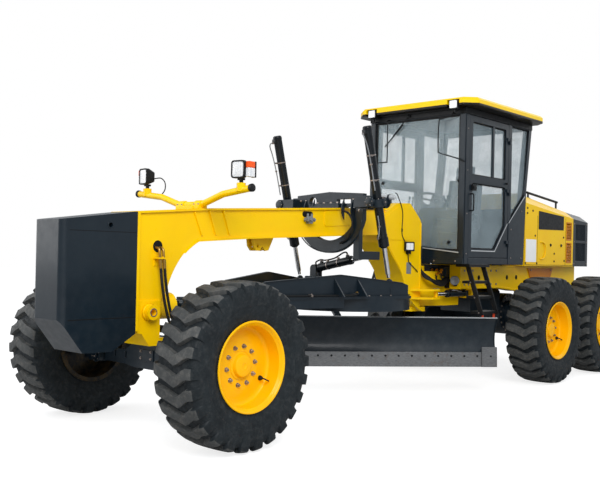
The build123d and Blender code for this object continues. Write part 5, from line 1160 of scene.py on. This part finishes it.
# ---------------------------------------------------------------- front axle
def axle_details():
    """Pin caps, bolts, lean cylinder's sleeve, tie rod's ends and ribs of the front axle."""
    caps = Piece()
    for sign in (1, -1):
        caps.turned([(0, 0.04), (0.006, 0.04), (0.01, 0.034)], (0.7, -3.4 + sign * 0.118, 0.6),
                (0, sign, 0), 32)
        caps.ring((-0.004, 0.004), (0.046, 0.0725), (0.7, -3.4 + sign * 0.104, 0.6), REAR, 40)
    caps.each_side("lean_pin_caps", "charcoal", "lean_{}", bevel=0.001)
    studs = Piece()
    for sign in (1, -1):
        studs.bolt_ring((0.7, -3.4 + sign * 0.128, 0.6), (0, sign, 0), 0.024, 4, 0.005, 0.005)
        studs.bolt_ring((0.7, -3.4 + sign * 0.106, 0.6), (0, sign, 0), 0.06, 6, 0.005, 0.005)
    for x in (0.66, 0.72):
        studs.screw((x, -3.44, 0.8), FRONT, 0.008, 0.007)
    studs.each_side("lean_bolts", "nut", "lean_{}", bevel=0.0005)
    caps = Piece()
    for z, sign in ((0.805, 1), (0.543, -1)):
        caps.turned([(0, 0.044), (0.008, 0.044), (0.013, 0.034)], (0.85, -3.4, z), (0, 0, sign), 32)
    caps.turned([(0, 0.02), (0.012, 0.016)], (0.85, -3.27, 0.8185), UP, 24)
    caps.each_side("kingpin_caps", "charcoal", "knuckle_{}", bevel=0.001)
    studs = Piece()
    studs.bolt_ring((0.85, -3.4, 0.813), UP, 0.036, 6, 0.005, 0.005)
    for y, z in ((-3.445, 0.63), (-3.445, 0.72), (-3.355, 0.63), (-3.355, 0.72)):
        studs.screw((0.942, y, z), LEFT, 0.008, 0.007)
    studs.each_side("kingpin_bolts", "nut", "knuckle_{}", bevel=0.0005)
    lean = Piece()
    lean.turned([(-0.24, 0.034), (0.2, 0.034), (0.2, 0.039), (0.235, 0.039)], (0, -3.336, 0.88), LEFT, 36)
    lean.emit("lean_cylinder_sleeve", "gloss", "lean_bar", bevel=0.002)
    tie = Piece()
    for sign in (1, -1):
        tie.hexagon((sign * 0.765, -3.2197, 0.785), (-sign, 0, 0), 0.027, 0.05)
    tie.ring((-0.012, 0.012), (0.0202, 0.027), (0.3, -3.2197, 0.785), LEFT, 28)
    tie.emit("tie_rod_ends", "nut", "tie_rod", bevel=0.001)
    webs = Piece()
    for x in (0.3, 0.46):
        webs.prism([(x, -3.45, 0.6), (x, -3.462, 0.605), (x, -3.462, 0.655), (x, -3.45, 0.66)],
                (0.016, 0, 0))
    webs.mirrored()
    webs.box((-0.1, -3.462, 0.6), (0.1, -3.448, 0.7))
    webs.emit("axle_ribs", "charcoal", "front_frame")
    studs = Piece()
    for x in (-0.07, 0.07):
        for z in (0.62, 0.68):
            studs.screw((x, -3.462, z), FRONT, 0.009, 0.008)
    studs.emit("axle_bolts", "nut", "front_frame", bevel=0.0006)


def counterweight_details():
    """Dark seams, hole rims, and the nose boss's liner and weld."""
    seams = Piece()
    for low, high in ((1.005, 1.012), (1.715, 1.719)):
        for x in (-0.2062, 0.2052):
            seams.prism([(x, -4.38, low), (x, -3.74, low), (x, -3.74, high), (x, -4.38, high)],
                    (0.001, 0, 0))
    seams.emit("weight_seams", "dark", "front_frame", bevel=0)
    rims = Piece()
    for sign in (1, -1):
        rims.lathe([(0, 0.0205), (0, 0.03), (0.004, 0.028), (0.004, 0.0205)], (sign * 0.205, -4.0, 1.77),
                (sign, 0, 0), 36, closed=True)
    rims.emit("weight_hole_rims", "charcoal", "front_frame", bevel=0.0008)
    liner = Piece()
    for sign in (1, -1):
        liner.lathe([(-0.002, 0.0285), (-0.002, 0.038), (0.003, 0.037), (0.003, 0.0285)],
                (sign * 0.242, -3.572, 1.043), (sign, 0, 0), 40, closed=True)
    liner.emit("tow_bore_liner", "nut", "front_frame", bevel=0.0008)
    bead = Piece()
    for sign in (1, -1):
        bead.lathe([(0, 0.063), (0, 0.076), (0.009, 0.066), (0.009, 0.063)],
                (sign * 0.182, -3.572, 1.043), (sign, 0, 0), 48, closed=True)
    bead.emit("tow_boss_weld", "yellow", "front_frame", bevel=0)


# ---------------------------------------------------------------- cab
DOOR_OUTER = [(0.755, 1.58), (1.715, 1.58), (1.715, 3.29), (0.755, 3.29)]
DOOR_UPPER = [(0.825, 2.575), (1.645, 2.575), (1.645, 3.22), (0.825, 3.22)]
DOOR_LOWER = [(0.825, 1.68), (1.385, 1.68), (1.645, 1.98), (1.645, 2.48), (0.825, 2.48)]
QUARTER = [(1.8, 2.08), (2.16, 2.405), (2.165, 2.5), (2.27, 3.29), (1.8, 3.29)]
SCREEN = [(-0.628, 1.65), (0.0, 1.715), (0.628, 1.65), (0.628, 3.29), (-0.628, 3.29)]


def doors():
    """Door frames with separate panes, gaskets, latch, grab handle and hinges."""
    frame_piece = Piece()
    holed(frame_piece, rounded(DOOR_OUTER, 0.012), [rounded(DOOR_UPPER, 0.03), rounded(DOOR_LOWER, 0.03)],
            lambda a, b: (0.65, a, b), (0.05, 0, 0))
    for z in (1.76, 2.42, 3.08):
        frame_piece.turned([(0.0003, 0.013), (0.04, 0.013)], (0.714, 1.723, z), UP, 20)
        frame_piece.box((0.698, 1.663, z + 0.0003), (0.72, 1.715, z + 0.04))
        frame_piece.box((0.703, 1.715, z + 0.0003), (0.72, 1.723, z + 0.04))
    frame_piece.box((0.667, 1.32, 2.575), (0.694, 1.36, 3.22))
    frame_piece.each_side("door_frame", "charcoal", "door_{}")
    for side in ("left", "right"):
        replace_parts(bpy.data.objects["door_frame_" + side], "door_" + side)
    panes = Piece()
    for outline in (DOOR_UPPER, DOOR_LOWER):
        panes.plate(rounded(outline, 0.03), 0.667, 0.008)
    panes.each_side("door_panes", "glass", "door_{}", bevel=0)
    seals = Piece()
    for outline in (DOOR_UPPER, DOOR_LOWER):
        holed(seals, rounded(outline, 0.03), [rounded(inset(outline, 0.014), 0.022)], lambda a,
                b: (0.675, a, b), (0.008, 0, 0))
    seals.each_side("door_seals", "hose", "door_{}", bevel=0)
    latch = Piece()
    latch.box((0.7, 0.8, 2.385), (0.724, 0.895, 2.455))
    latch.box((0.722, 0.815, 2.402), (0.736, 0.87, 2.438))
    latch.pipe([(0.7, 0.79, 2.14), (0.735, 0.79, 2.14), (0.745, 0.79, 2.16), (0.745, 0.79, 2.32),
            (0.735, 0.79, 2.34), (0.7, 0.79, 2.34)], 0.009, 14, 6)
    latch.each_side("door_latch", "black", "door_{}")
    # light grey strip below the lower pane: a painted highlight along the frame's edge
    edge = Piece()
    edge.prism([(0.6995, 0.83, 1.664), (0.6995, 1.392, 1.664), (0.6995, 1.712, 2.026),
            (0.6995, 1.712, 2.008), (0.6995, 1.398, 1.652), (0.6995, 0.83, 1.652)], (0.003, 0, 0))
    edge.each_side("door_edge_strip", "light_grey", "door_{}", bevel=0)
    knob = Piece().turned([(0, 0.01), (0.02, 0.013), (0.028, 0.009)], (0.7, 1.66, 2.53), LEFT, 20)
    knob.each_side("door_stop", "black", "door_{}", bevel=0)


def cab_details():
    """Gaskets, header, panels, painted highlights along the windows' lower edges, bolts, stops, wiper and
    mirror brackets of the cab.
    """
    seals = Piece()
    holed(seals, inset(SCREEN, 0.001), [inset(SCREEN, 0.022)], lambda a, b: (a, 0.662, b), (0, 0.008, 0))
    for x in (0.6755, -0.6835):
        holed(seals, inset(QUARTER, 0.001), [inset(QUARTER, 0.016)], lambda a, b: (x, a, b),
                (0.008, 0, 0))
    seals.emit("cab_seals", "hose", "rear_frame", bevel=0)
    trims = Piece()
    trims.box((-0.712, 0.63, 3.296), (0.712, 0.646, 3.366))
    for x in (0.7, -0.712):
        trims.box((x, 0.64, 3.296), (x + 0.012, 2.335, 3.366))
    trims.emit("cab_header", "black", "rear_frame")
    posts = Piece()
    for x in (0.64, -0.704):
        posts.box((x, 0.637, 1.6), (x + 0.064, 0.646, 3.29))
    posts.box((-0.7, 0.634, 1.497), (0.7, 0.646, 1.56))
    for x in (0.699, -0.707):
        posts.prism([(x, 1.735, 1.5), (x, 1.735, 2.02), (x, 2.15, 2.385), (x, 2.19, 2.385),
                (x, 2.145, 1.5)], (0.008, 0, 0))
        posts.prism([(x, 0.66, 1.5), (x, 0.742, 1.5), (x, 0.742, 3.28), (x, 0.66, 3.28)], (0.008, 0, 0))
        posts.prism([(x, 0.75, 1.497), (x, 1.72, 1.497), (x, 1.72, 1.566), (x, 0.75, 1.566)],
                (0.008, 0, 0))
    # two charcoal strips closing the gap between the cab's floor and the frame: dark sheets painted in as the
    # shade under the cab
    for sign in (1, -1):
        posts.box((min(sign * 0.02, sign * 0.56), 1.012, 1.4795), (max(sign * 0.02, sign * 0.56), 1.05,
                1.4955))
    posts.emit("cab_panels", "charcoal", "rear_frame", bevel=0.002)
    # light grey strips along the quarter windows' and the screen's lower edges: painted highlights
    edge = Piece()
    for x in (0.7065, -0.7095):
        edge.prism([(x, 1.737, 2.022), (x, 1.737, 2.036), (x, 2.155, 2.402), (x, 2.166, 2.392)],
                (0.003, 0, 0))
    edge.prism([(-0.64, 0.6335, 1.638), (0.0, 0.6335, 1.703), (0.64, 0.6335, 1.638),
            (0.64, 0.6335, 1.626), (0.0, 0.6335, 1.691), (-0.64, 0.6335, 1.626)], (0, 0.012, 0))
    edge.emit("cab_sill_highlights", "light_grey", "rear_frame", bevel=0)
    bolts = Piece()
    for x in (-0.6, -0.3, 0.0, 0.3, 0.6):
        bolts.screw((x, 0.634, 1.528), FRONT, 0.008, 0.006)
    for sign in (1, -1):
        for y, z in ((1.8, 1.58), (2.08, 1.58), (1.8, 1.95), (2.08, 2.2)):
            bolts.screw((sign * CAB_SIDE, y, z), (sign, 0, 0), 0.008, 0.006)
        for z in (1.62, 2.1, 2.62, 3.12):
            bolts.screw((sign * CAB_SIDE, 0.7, z), (sign, 0, 0), 0.006, 0.004)
    bolts.emit("cab_bolts", "nut", "rear_frame", bevel=0.0006)
    stops = Piece()
    for x, z in ((-0.513, 2.512), (0.614, 2.499), (0.492, 1.756)):
        stops.turned([(0, 0.017), (0.018, 0.02), (0.026, 0.014)], (x, 0.671, z), FRONT, 24)
    stops.emit("screen_stops", "black", "rear_frame", bevel=0)
    wipers = Piece()
    (x, z), (far_x, far_z) = (-0.1, 3.335), (-0.49, 2.975)
    wipers.turned([(0, 0.022), (0.022, 0.018)], (x, 0.632, z - 0.004), FRONT, 20)
    wipers.rod((x, 0.616, z), (x + (far_x - x) * 0.62, 0.64, z + (far_z - z) * 0.62), 0.0055, 10)
    wipers.rod((x + (far_x - x) * 0.28, 0.652, z + (far_z - z) * 0.28), (far_x, 0.652, far_z), 0.0075,
            10)
    wipers.rod((x + (far_x - x) * 0.62, 0.652, z + (far_z - z) * 0.62), (x + (far_x - x) * 0.62,
            0.638, z + (far_z - z) * 0.62), 0.009, 10)
    wipers.emit("screen_wipers", "black", "rear_frame", bevel=0)
    brackets = Piece()
    brackets.pipe([(-0.6, 0.64, 3.3), (-0.585, 0.575, 3.285), (-0.57, 0.56, 3.2), (-0.57, 0.56, 2.8),
            (-0.555, 0.56, 2.768), (-0.4, 0.56, 2.766), (-0.382, 0.56, 2.8), (-0.382, 0.56, 3.22),
            (-0.395, 0.575, 3.285), (-0.4, 0.636, 3.31)], 0.0075, 12, 5)
    brackets.pipe([(0.54, 0.634, 3.33), (0.53, 0.6, 3.275), (0.4, 0.6, 3.245), (0.357, 0.6, 3.215),
            (0.352, 0.6, 2.88), (0.38, 0.6, 2.835), (0.62, 0.6, 2.755), (0.69, 0.625, 2.72),
            (0.69, 0.646, 2.718)], 0.0075, 12, 5)
    brackets.emit("mirror_brackets", "black", "rear_frame", bevel=0)


def roof_details():
    """Work lamps in the front recesses, raised panel, rim and front channel of the roof."""
    shells, lenses = Piece(), Piece()
    for x in (-0.605, 0.605):
        shells.box((x - 0.06, 0.514, 3.338), (x + 0.06, 0.58, 3.444))
        shells.box((x - 0.012, 0.545, 3.3), (x + 0.012, 0.57, 3.345))
        outline = rounded([(x - 0.05, 3.346), (x + 0.05, 3.346), (x + 0.05, 3.436), (x - 0.05, 3.436)],
                0.014)
        lenses.prism([(a, 0.5095, b) for a, b in outline], (0, 0.006, 0))
    shells.emit("roof_lamp_shells", "black", "rear_frame", bevel=0.004)
    lenses.emit("roof_lamp_lenses", "white", "rear_frame", bevel=0.002)
    panel = Piece()
    outline = rounded([(-0.62, 0.78), (0.62, 0.78), (0.62, 2.24), (-0.62, 2.24)], 0.1)
    panel.prism([(a, b, 3.4695) for a, b in outline], (0, 0, -0.016))
    panel.emit("roof_panel", "roof", "rear_frame")
    gutter = Piece()
    rim = [(0.742, 0.507), (0.8785, 0.641), (0.8785, 2.289), (0.759, 2.398)]
    line = [(x, y, 3.381) for x, y in rim]
    gutter.pipe([(0.7, 0.507, 3.381)] + line + [(0.0, 2.3985, 3.381)], 0.0045, 10, 1)
    gutter.mirrored().emit("roof_rim", "roof", "rear_frame", bevel=0)
    beam = Piece().box((-0.5, 0.6, 3.352), (0.5, 0.642, 3.3695))
    beam.emit("roof_front_channel", "black", "rear_frame", bevel=0.002)


def cab_inside():
    """Seat padding and its posts, lever knobs, dash and floor panels, and the cab's mounts."""
    pads = Piece()
    pads.box((-0.225, 1.305, 2.016), (0.225, 1.7, 2.06))
    pads.prism([(-0.215, 1.7, 2.06), (-0.215, 1.722, 2.06), (-0.215, 1.806, 2.585),
            (-0.215, 1.78, 2.595)], (0.43, 0, 0))
    pads.prism([(-0.13, 1.79, 2.62), (-0.13, 1.85, 2.62), (-0.13, 1.872, 2.8), (-0.13, 1.812, 2.8)],
            (0.26, 0, 0))
    pads.emit("seat_pads", "cloth", "rear_frame", bevel=0.018, segments=3)
    posts = Piece()
    for x in (-0.06, 0.06):
        posts.rod((x, 1.835, 2.56), (x, 1.84, 2.66), 0.008, 12)
    posts.emit("seat_posts", "chrome", "rear_frame", bevel=0)
    knobs = Piece()
    for side in (1, -1):
        for x in (0.17, 0.23, 0.29, 0.35):
            knobs.lathe([(-0.022, 0), (-0.02, 0.01), (0, 0.018), (0.016, 0.014), (0.02, 0)],
                    (side * x, 1.032, 2.338), (0, 0.3, 1), 18)
    knobs.emit("lever_knobs", "black", "rear_frame", bevel=0)
    panel = Piece()
    panel.box((0.14, 0.88, 2.162), (0.3, 0.9, 2.26))
    panel.box((-0.645, 0.7, 1.5445), (0.645, 1.28, 1.549))
    panel.emit("dash_panel", "black", "rear_frame", bevel=0.004)
    mounts = Piece()
    for x in (-0.375, 0.375):
        for y in (1.1, 2.05):
            mounts.ring((0, 0.014), (0.058, 0.066), (x, y, 1.48), UP, 36)
    mounts.emit("cab_mounts", "hose", "rear_frame", bevel=0)


# ---------------------------------------------------------------- hood, frame and tandem

def hood_details():
    """Blank plates, louvres, half-round handle, seams, bolts, latches, rail feet and radiator cap."""
    plate = Piece().plate([(2.8, 1.99), (3.6, 2.005), (3.6, 2.205), (2.8, 2.248)], HOOD_SIDE - 0.001,
            0.005)
    plate.mirrored().emit("hood_plate", "black", "rear_frame", bevel=0.001)
    white = Piece().plate(rounded([(2.435, 1.535), (2.735, 1.535), (2.735, 1.845), (2.435, 1.845)],
            0.012), HOOD_SIDE - 0.001, 0.004)
    white.mirrored().emit("hood_white_plate", "white", "rear_frame", bevel=0.001)
    louvres, slats = Piece(), Piece()
    for low, high in ((1.53, 1.83), (1.86, 2.13)):
        outer = rounded([(3.69, low), (3.87, low), (3.87, high), (3.69, high)], 0.012)
        inner = [(3.706, low + 0.016), (3.854, low + 0.016), (3.854, high - 0.016), (3.706, high - 0.016)]
        holed(louvres, outer, [inner], lambda a, b: (HOOD_SIDE - 0.001, a, b), (0.006, 0, 0))
        count = int((high - low - 0.032) / 0.02)
        for index in range(count):
            z = low + 0.018 + index * 0.02
            slats.prism([(0.5935, 3.706, z), (0.6055, 3.706, z - 0.002), (0.607, 3.706, z + 0.003),
                    (0.5955, 3.706, z + 0.013)], (0, 0.148, 0))
    louvres.mirrored().emit("hood_louvre_frames", "ochre", "rear_frame", bevel=0.001)
    slats.mirrored().emit("hood_louvres", "ochre", "rear_frame", bevel=0)
    handle = Piece()
    arc = [(HOOD_SIDE + 0.012, 2.905 + 0.105 * math.sin(a), 1.698 + 0.117 * math.cos(a))
            for a in [math.pi * step / 10 for step in range(11)]]
    handle.pipe([(HOOD_SIDE - 0.002, 2.86, 1.815)] + [(HOOD_SIDE + 0.012, 2.868, 1.815)] + arc
            + [(HOOD_SIDE + 0.012, 2.868, 1.581), (HOOD_SIDE - 0.002, 2.86, 1.581)], 0.008, 12, 4)
    handle.mirrored().emit("hood_handle", "yellow", "rear_frame", bevel=0)
    seams = Piece()
    for y in (2.765, 3.665):
        seams.box((HOOD_SIDE - 0.001, y, 1.49), (HOOD_SIDE + 0.0012, y + 0.006, 2.18))
    seams.box((HOOD_SIDE - 0.001, 2.405, 1.492), (HOOD_SIDE + 0.0012, 3.925, 1.498))
    seams.mirrored().emit("hood_seams", "dark", "rear_frame", bevel=0)
    bolts = Piece()
    for y, z in ((2.46, 2.27), (2.46, 2.2), (2.62, 2.24), (2.7, 1.9), (3.3, 1.66), (3.3, 1.55),
            (2.42, 1.52), (2.76, 1.52), (3.6, 1.9), (3.63, 1.56)):
        bolts.screw((HOOD_SIDE, y, z), LEFT, 0.012, 0.008)
    bolts.mirrored().emit("hood_bolts", "brown", "rear_frame", bevel=0.0008)
    latches = Piece()
    for y in (3.18, 3.52):
        latches.turned([(0, 0.022), (0.006, 0.022), (0.01, 0.018)], (HOOD_SIDE, y, 1.78), LEFT, 24)
        latches.box((HOOD_SIDE + 0.01, y - 0.014, 1.776), (HOOD_SIDE + 0.016, y + 0.014, 1.784))
    latches.mirrored().emit("hood_latches", "black", "rear_frame", bevel=0.001)
    feet = Piece()
    for sign in (1, -1):
        for y, z in ((2.8, 2.427), (3.69, 2.316)):
            feet.turned([(0, 0.034), (0.006, 0.034), (0.01, 0.02)], (sign * 0.43, y, z), (0, 0.12, 1), 24)
    feet.emit("handrail_feet", "black", "rear_frame", bevel=0.001)
    cap = Piece().turned([(0, 0.055), (0.02, 0.055), (0.03, 0.045)], (0.2, 3.42, 2.345), (0, 0.1, 1), 32)
    cap.emit("radiator_cap", "black", "rear_frame", bevel=0.002)


def tail_details():
    """Mesh behind the tail bars, tail lamps, bolts and the ring round the hitch's bore."""
    bolts = Piece()
    for x in (-0.54, 0.54):
        for z in (1.52, 1.84, 2.1):
            bolts.screw((x, 4.45, z), REAR, 0.01, 0.0005)
    for sign in (1, -1):
        for y in (3.965, 4.405):
            for z in (1.52, 1.85, 2.12):
                bolts.screw((sign * 0.6, y, z), (sign, 0, 0), 0.01, 0.006)
    bolts.emit("tail_bolts", "nut", "rear_frame", bevel=0)
    mesh = Piece()
    for index in range(15):
        x = -0.455 + index * 0.065
        mesh.box((x - 0.003, 4.424, 1.56), (x + 0.003, 4.43, 2.11))
    mesh.emit("tail_mesh", "gloss", "rear_frame", bevel=0)
    lamps_red = Piece()
    for x in (-0.54, 0.54):
        outline = rounded([(x - 0.035, 1.62), (x + 0.035, 1.62), (x + 0.035, 1.76), (x - 0.035, 1.76)],
                0.014)
        lamps_red.prism([(a, 4.4495, b) for a, b in outline], (0, -0.02, 0))
    lamps_red.emit("tail_lamps", "red_orange", "rear_frame", bevel=0)
    ring = Piece().ring((0, 0.006), (0.028, 0.046), (0, 4.4, 1.24), UP, 40)
    ring.emit("hitch_ring", "steel", "rear_frame", bevel=0.0008)


def frame_details():
    """Flanges, side plates painted ochre as shade, bolts, holes painted dark as shade, and lines on the rear
    frame's rails.
    """
    strips = Piece()
    strips.plate([(1.015, 1.452), (3.93, 1.452), (3.93, 1.474), (1.015, 1.474)], RAIL_SIDE, 0.01)
    strips.plate([(1.015, 1.184), (1.965, 1.184), (2.455, 1.134), (3.9, 1.16), (3.9, 1.182),
            (2.46, 1.156), (1.97, 1.206), (1.015, 1.206)], RAIL_SIDE, 0.008)
    strips.mirrored().emit("frame_flanges", "yellow", "rear_frame", bevel=0.002)
    plates = Piece()
    # the fender plate is painted ochre: painted shade falling on the rail there
    plates.plate([(2.78, 1.445), (3.56, 1.445), (3.44, 1.235), (2.86, 1.29)], RAIL_SIDE, 0.014)
    plates.mirrored().emit("frame_fender_shade_plates", "ochre", "rear_frame")
    bolts = Piece()
    for y in (1.1, 1.2, 1.3, 1.62, 1.76, 1.9):
        for z in (1.235, 1.41):
            bolts.hexagon((RAIL_SIDE, y, z), LEFT, 0.015, 0.012)
    for y, z in ((2.86, 1.42), (3.48, 1.42), (3.4, 1.27), (2.92, 1.31)):
        bolts.hexagon((0.463, y, z), LEFT, 0.012, 0.01)
    bolts.mirrored().emit("frame_bolts", "nut", "rear_frame", bevel=0.0008)
    # flat dark discs on the rails: painted shade inside the holes
    holes = Piece()
    for y in (1.46, 2.2, 2.46):
        holes.turned([(0, 0.032), (0.0015, 0.032)], (RAIL_SIDE, y, 1.32), LEFT, 32)
    holes.mirrored().emit("frame_holes", "dark", "rear_frame", bevel=0)
    lines = Piece()
    for index in range(3):
        z = 1.255 + index * 0.022
        lines.pipe([(0.3, 1.06, z), (0.28, 1.3, z), (0.286, 1.56, z - 0.01), (0.29, 1.62, z - 0.03)],
                0.008, 10, 5)
    lines.mirrored().emit("frame_lines", "hose", "rear_frame", bevel=0)


def valve_stack():
    """Black sheet over the frame's cross member as painted shade, and the valve block, ochre ports and looped
    hoses under the cab's floor, ahead of it.
    """
    # black sheet over the front cross member: painted shade, standing partly for the shadow there and partly
    # for the dark parts behind it
    cover = Piece().box((-0.296, 1.0005, 1.186), (0.296, 1.0112, 1.474))
    cover.emit("frame_front_shade_plate", "black", "rear_frame", bevel=0.002)
    block, ports, hoses = Piece(), Piece(), Piece()
    block.box((0.05, 0.93, 1.33), (0.29, 1.002, 1.455))
    block.box((0.07, 0.9, 1.35), (0.27, 0.932, 1.435))
    for index in range(6):
        x, z = 0.08 + 0.034 * index, 1.372 + 0.04 * (index % 2)
        drop, side = 0.03 + 0.008 * (index * 5 % 4), 0.01 * (index * 3 % 4 - 1)
        ports.turned([(0, 0.017), (0.018, 0.017), (0.024, 0.012)], (x, 0.901, z), FRONT, 16)
        ports.pipe([(x, 0.885, z), (x, 0.862, z - 0.004), (x + side, 0.85, z - drop * 0.6),
                (x + side, 0.85, z - drop)], 0.009, 10, 5)
        hoses.pipe([(x + side, 0.85, z - drop), (x + side, 0.852, z - drop - 0.05),
                (x + 0.02, 0.9, z - drop - 0.075), (x + 0.02, 1.004, z - drop - 0.07)], 0.0095, 10, 6)
    block.emit("valve_block", "charcoal", "rear_frame")
    ports.emit("valve_ports", "ochre", "rear_frame", bevel=0)
    hoses.emit("valve_hoses", "hose", "rear_frame", bevel=0)


def tandem_details():
    """Covers, plugs and bolts on the tandem cases, and fittings round the final drive."""
    covers = Piece()
    outline = rounded([(2.4, 0.565), (3.24, 0.565), (3.24, 0.783), (2.4, 0.783)], 0.05)
    covers.plate(outline, 0.8195, 0.01)
    covers.mirrored().emit("tandem_covers", "charcoal", "rear_frame")
    bolts = Piece()
    for y in (2.44, 2.6, 2.76, 2.92, 3.08, 3.2):
        for z in (0.59, 0.758):
            bolts.hexagon((0.829, y, z), LEFT, 0.011, 0.009)
    for y in (AXLES["mid"], AXLES["rear"]):
        bolts.bolt_ring((0.82, y, 0.674), LEFT, 0.125, 12, 0.011, 0.009)
    bolts.bolt_ring((0.836, 2.819, 0.79), LEFT, 0.205, 16, 0.012, 0.01)
    bolts.mirrored().emit("tandem_bolts", "nut", "rear_frame", bevel=0.0008)
    plugs = Piece()
    for y in (AXLES["mid"], AXLES["rear"]):
        plugs.hexagon((0.73, y, 0.86), UP, 0.022, 0.022)
    plugs.mirrored().emit("tandem_plugs", "black", "rear_frame", bevel=0.001)
    ribs = Piece()
    ribs.bolt_ring((0.17, 2.819, 0.79), LEFT, 0.255, 20, 0.012, 0.01)
    ribs.mirrored().emit("drive_bolts", "nut", "rear_frame", bevel=0.0008)


def step_x(z):
    """Outer face of the ladder's stiles at a height."""
    return 0.9 - 0.2 * (z - 0.89) / 0.59


def ladder_details():
    """Grip treads, studs and straps on the ladders."""
    treads, studs, straps = Piece(), Piece(), Piece()
    for low in (0.9, 1.08, 1.26):
        x, top = step_x(low + 0.03) - 0.008, low + 0.03
        for index in range(7):
            treads.box((x - 0.15 + index * 0.021, 0.825, top - 0.0005), (x - 0.14 + index * 0.021, 1.155,
                    top + 0.004))
        for y, sign in ((0.8, -1), (1.18, 1)):
            studs.hexagon((x - 0.04, y, low + 0.015), (0, sign, 0), 0.01, 0.007)
    for index in range(8):
        treads.box((0.56 + index * 0.021, 0.77, 1.4935), (0.57 + index * 0.021, 1.21, 1.4975))
    treads.mirrored().emit("ladder_treads", "steel", "rear_frame", bevel=0)
    studs.mirrored().emit("ladder_studs", "nut", "rear_frame", bevel=0.0008)
    for y in (0.835, 1.105):
        straps.box((0.852, y, 0.842), (0.862, y + 0.042, 0.902))
    straps.mirrored().emit("ladder_straps", "red_orange", "rear_frame")


# ---------------------------------------------------------------- scene
camera()
lights()
floor()
for mat_name, members in FINISH.items():
    for member in members:
        dress(member, mat_name)
wheel_set()
nose_details()
nose_hoses()
lamps()
lift_cylinders()
saddle_details()
centre_shift()
drawbar_details()
blade_details()
leg_details()
steering_cylinders()
horn()
axle_details()
counterweight_details()
doors()
cab_details()
roof_details()
cab_inside()
hood_details()
tail_details()
frame_details()
valve_stack()
tandem_details()
ladder_details()

bpy.context.scene.view_settings.view_transform = "Standard"
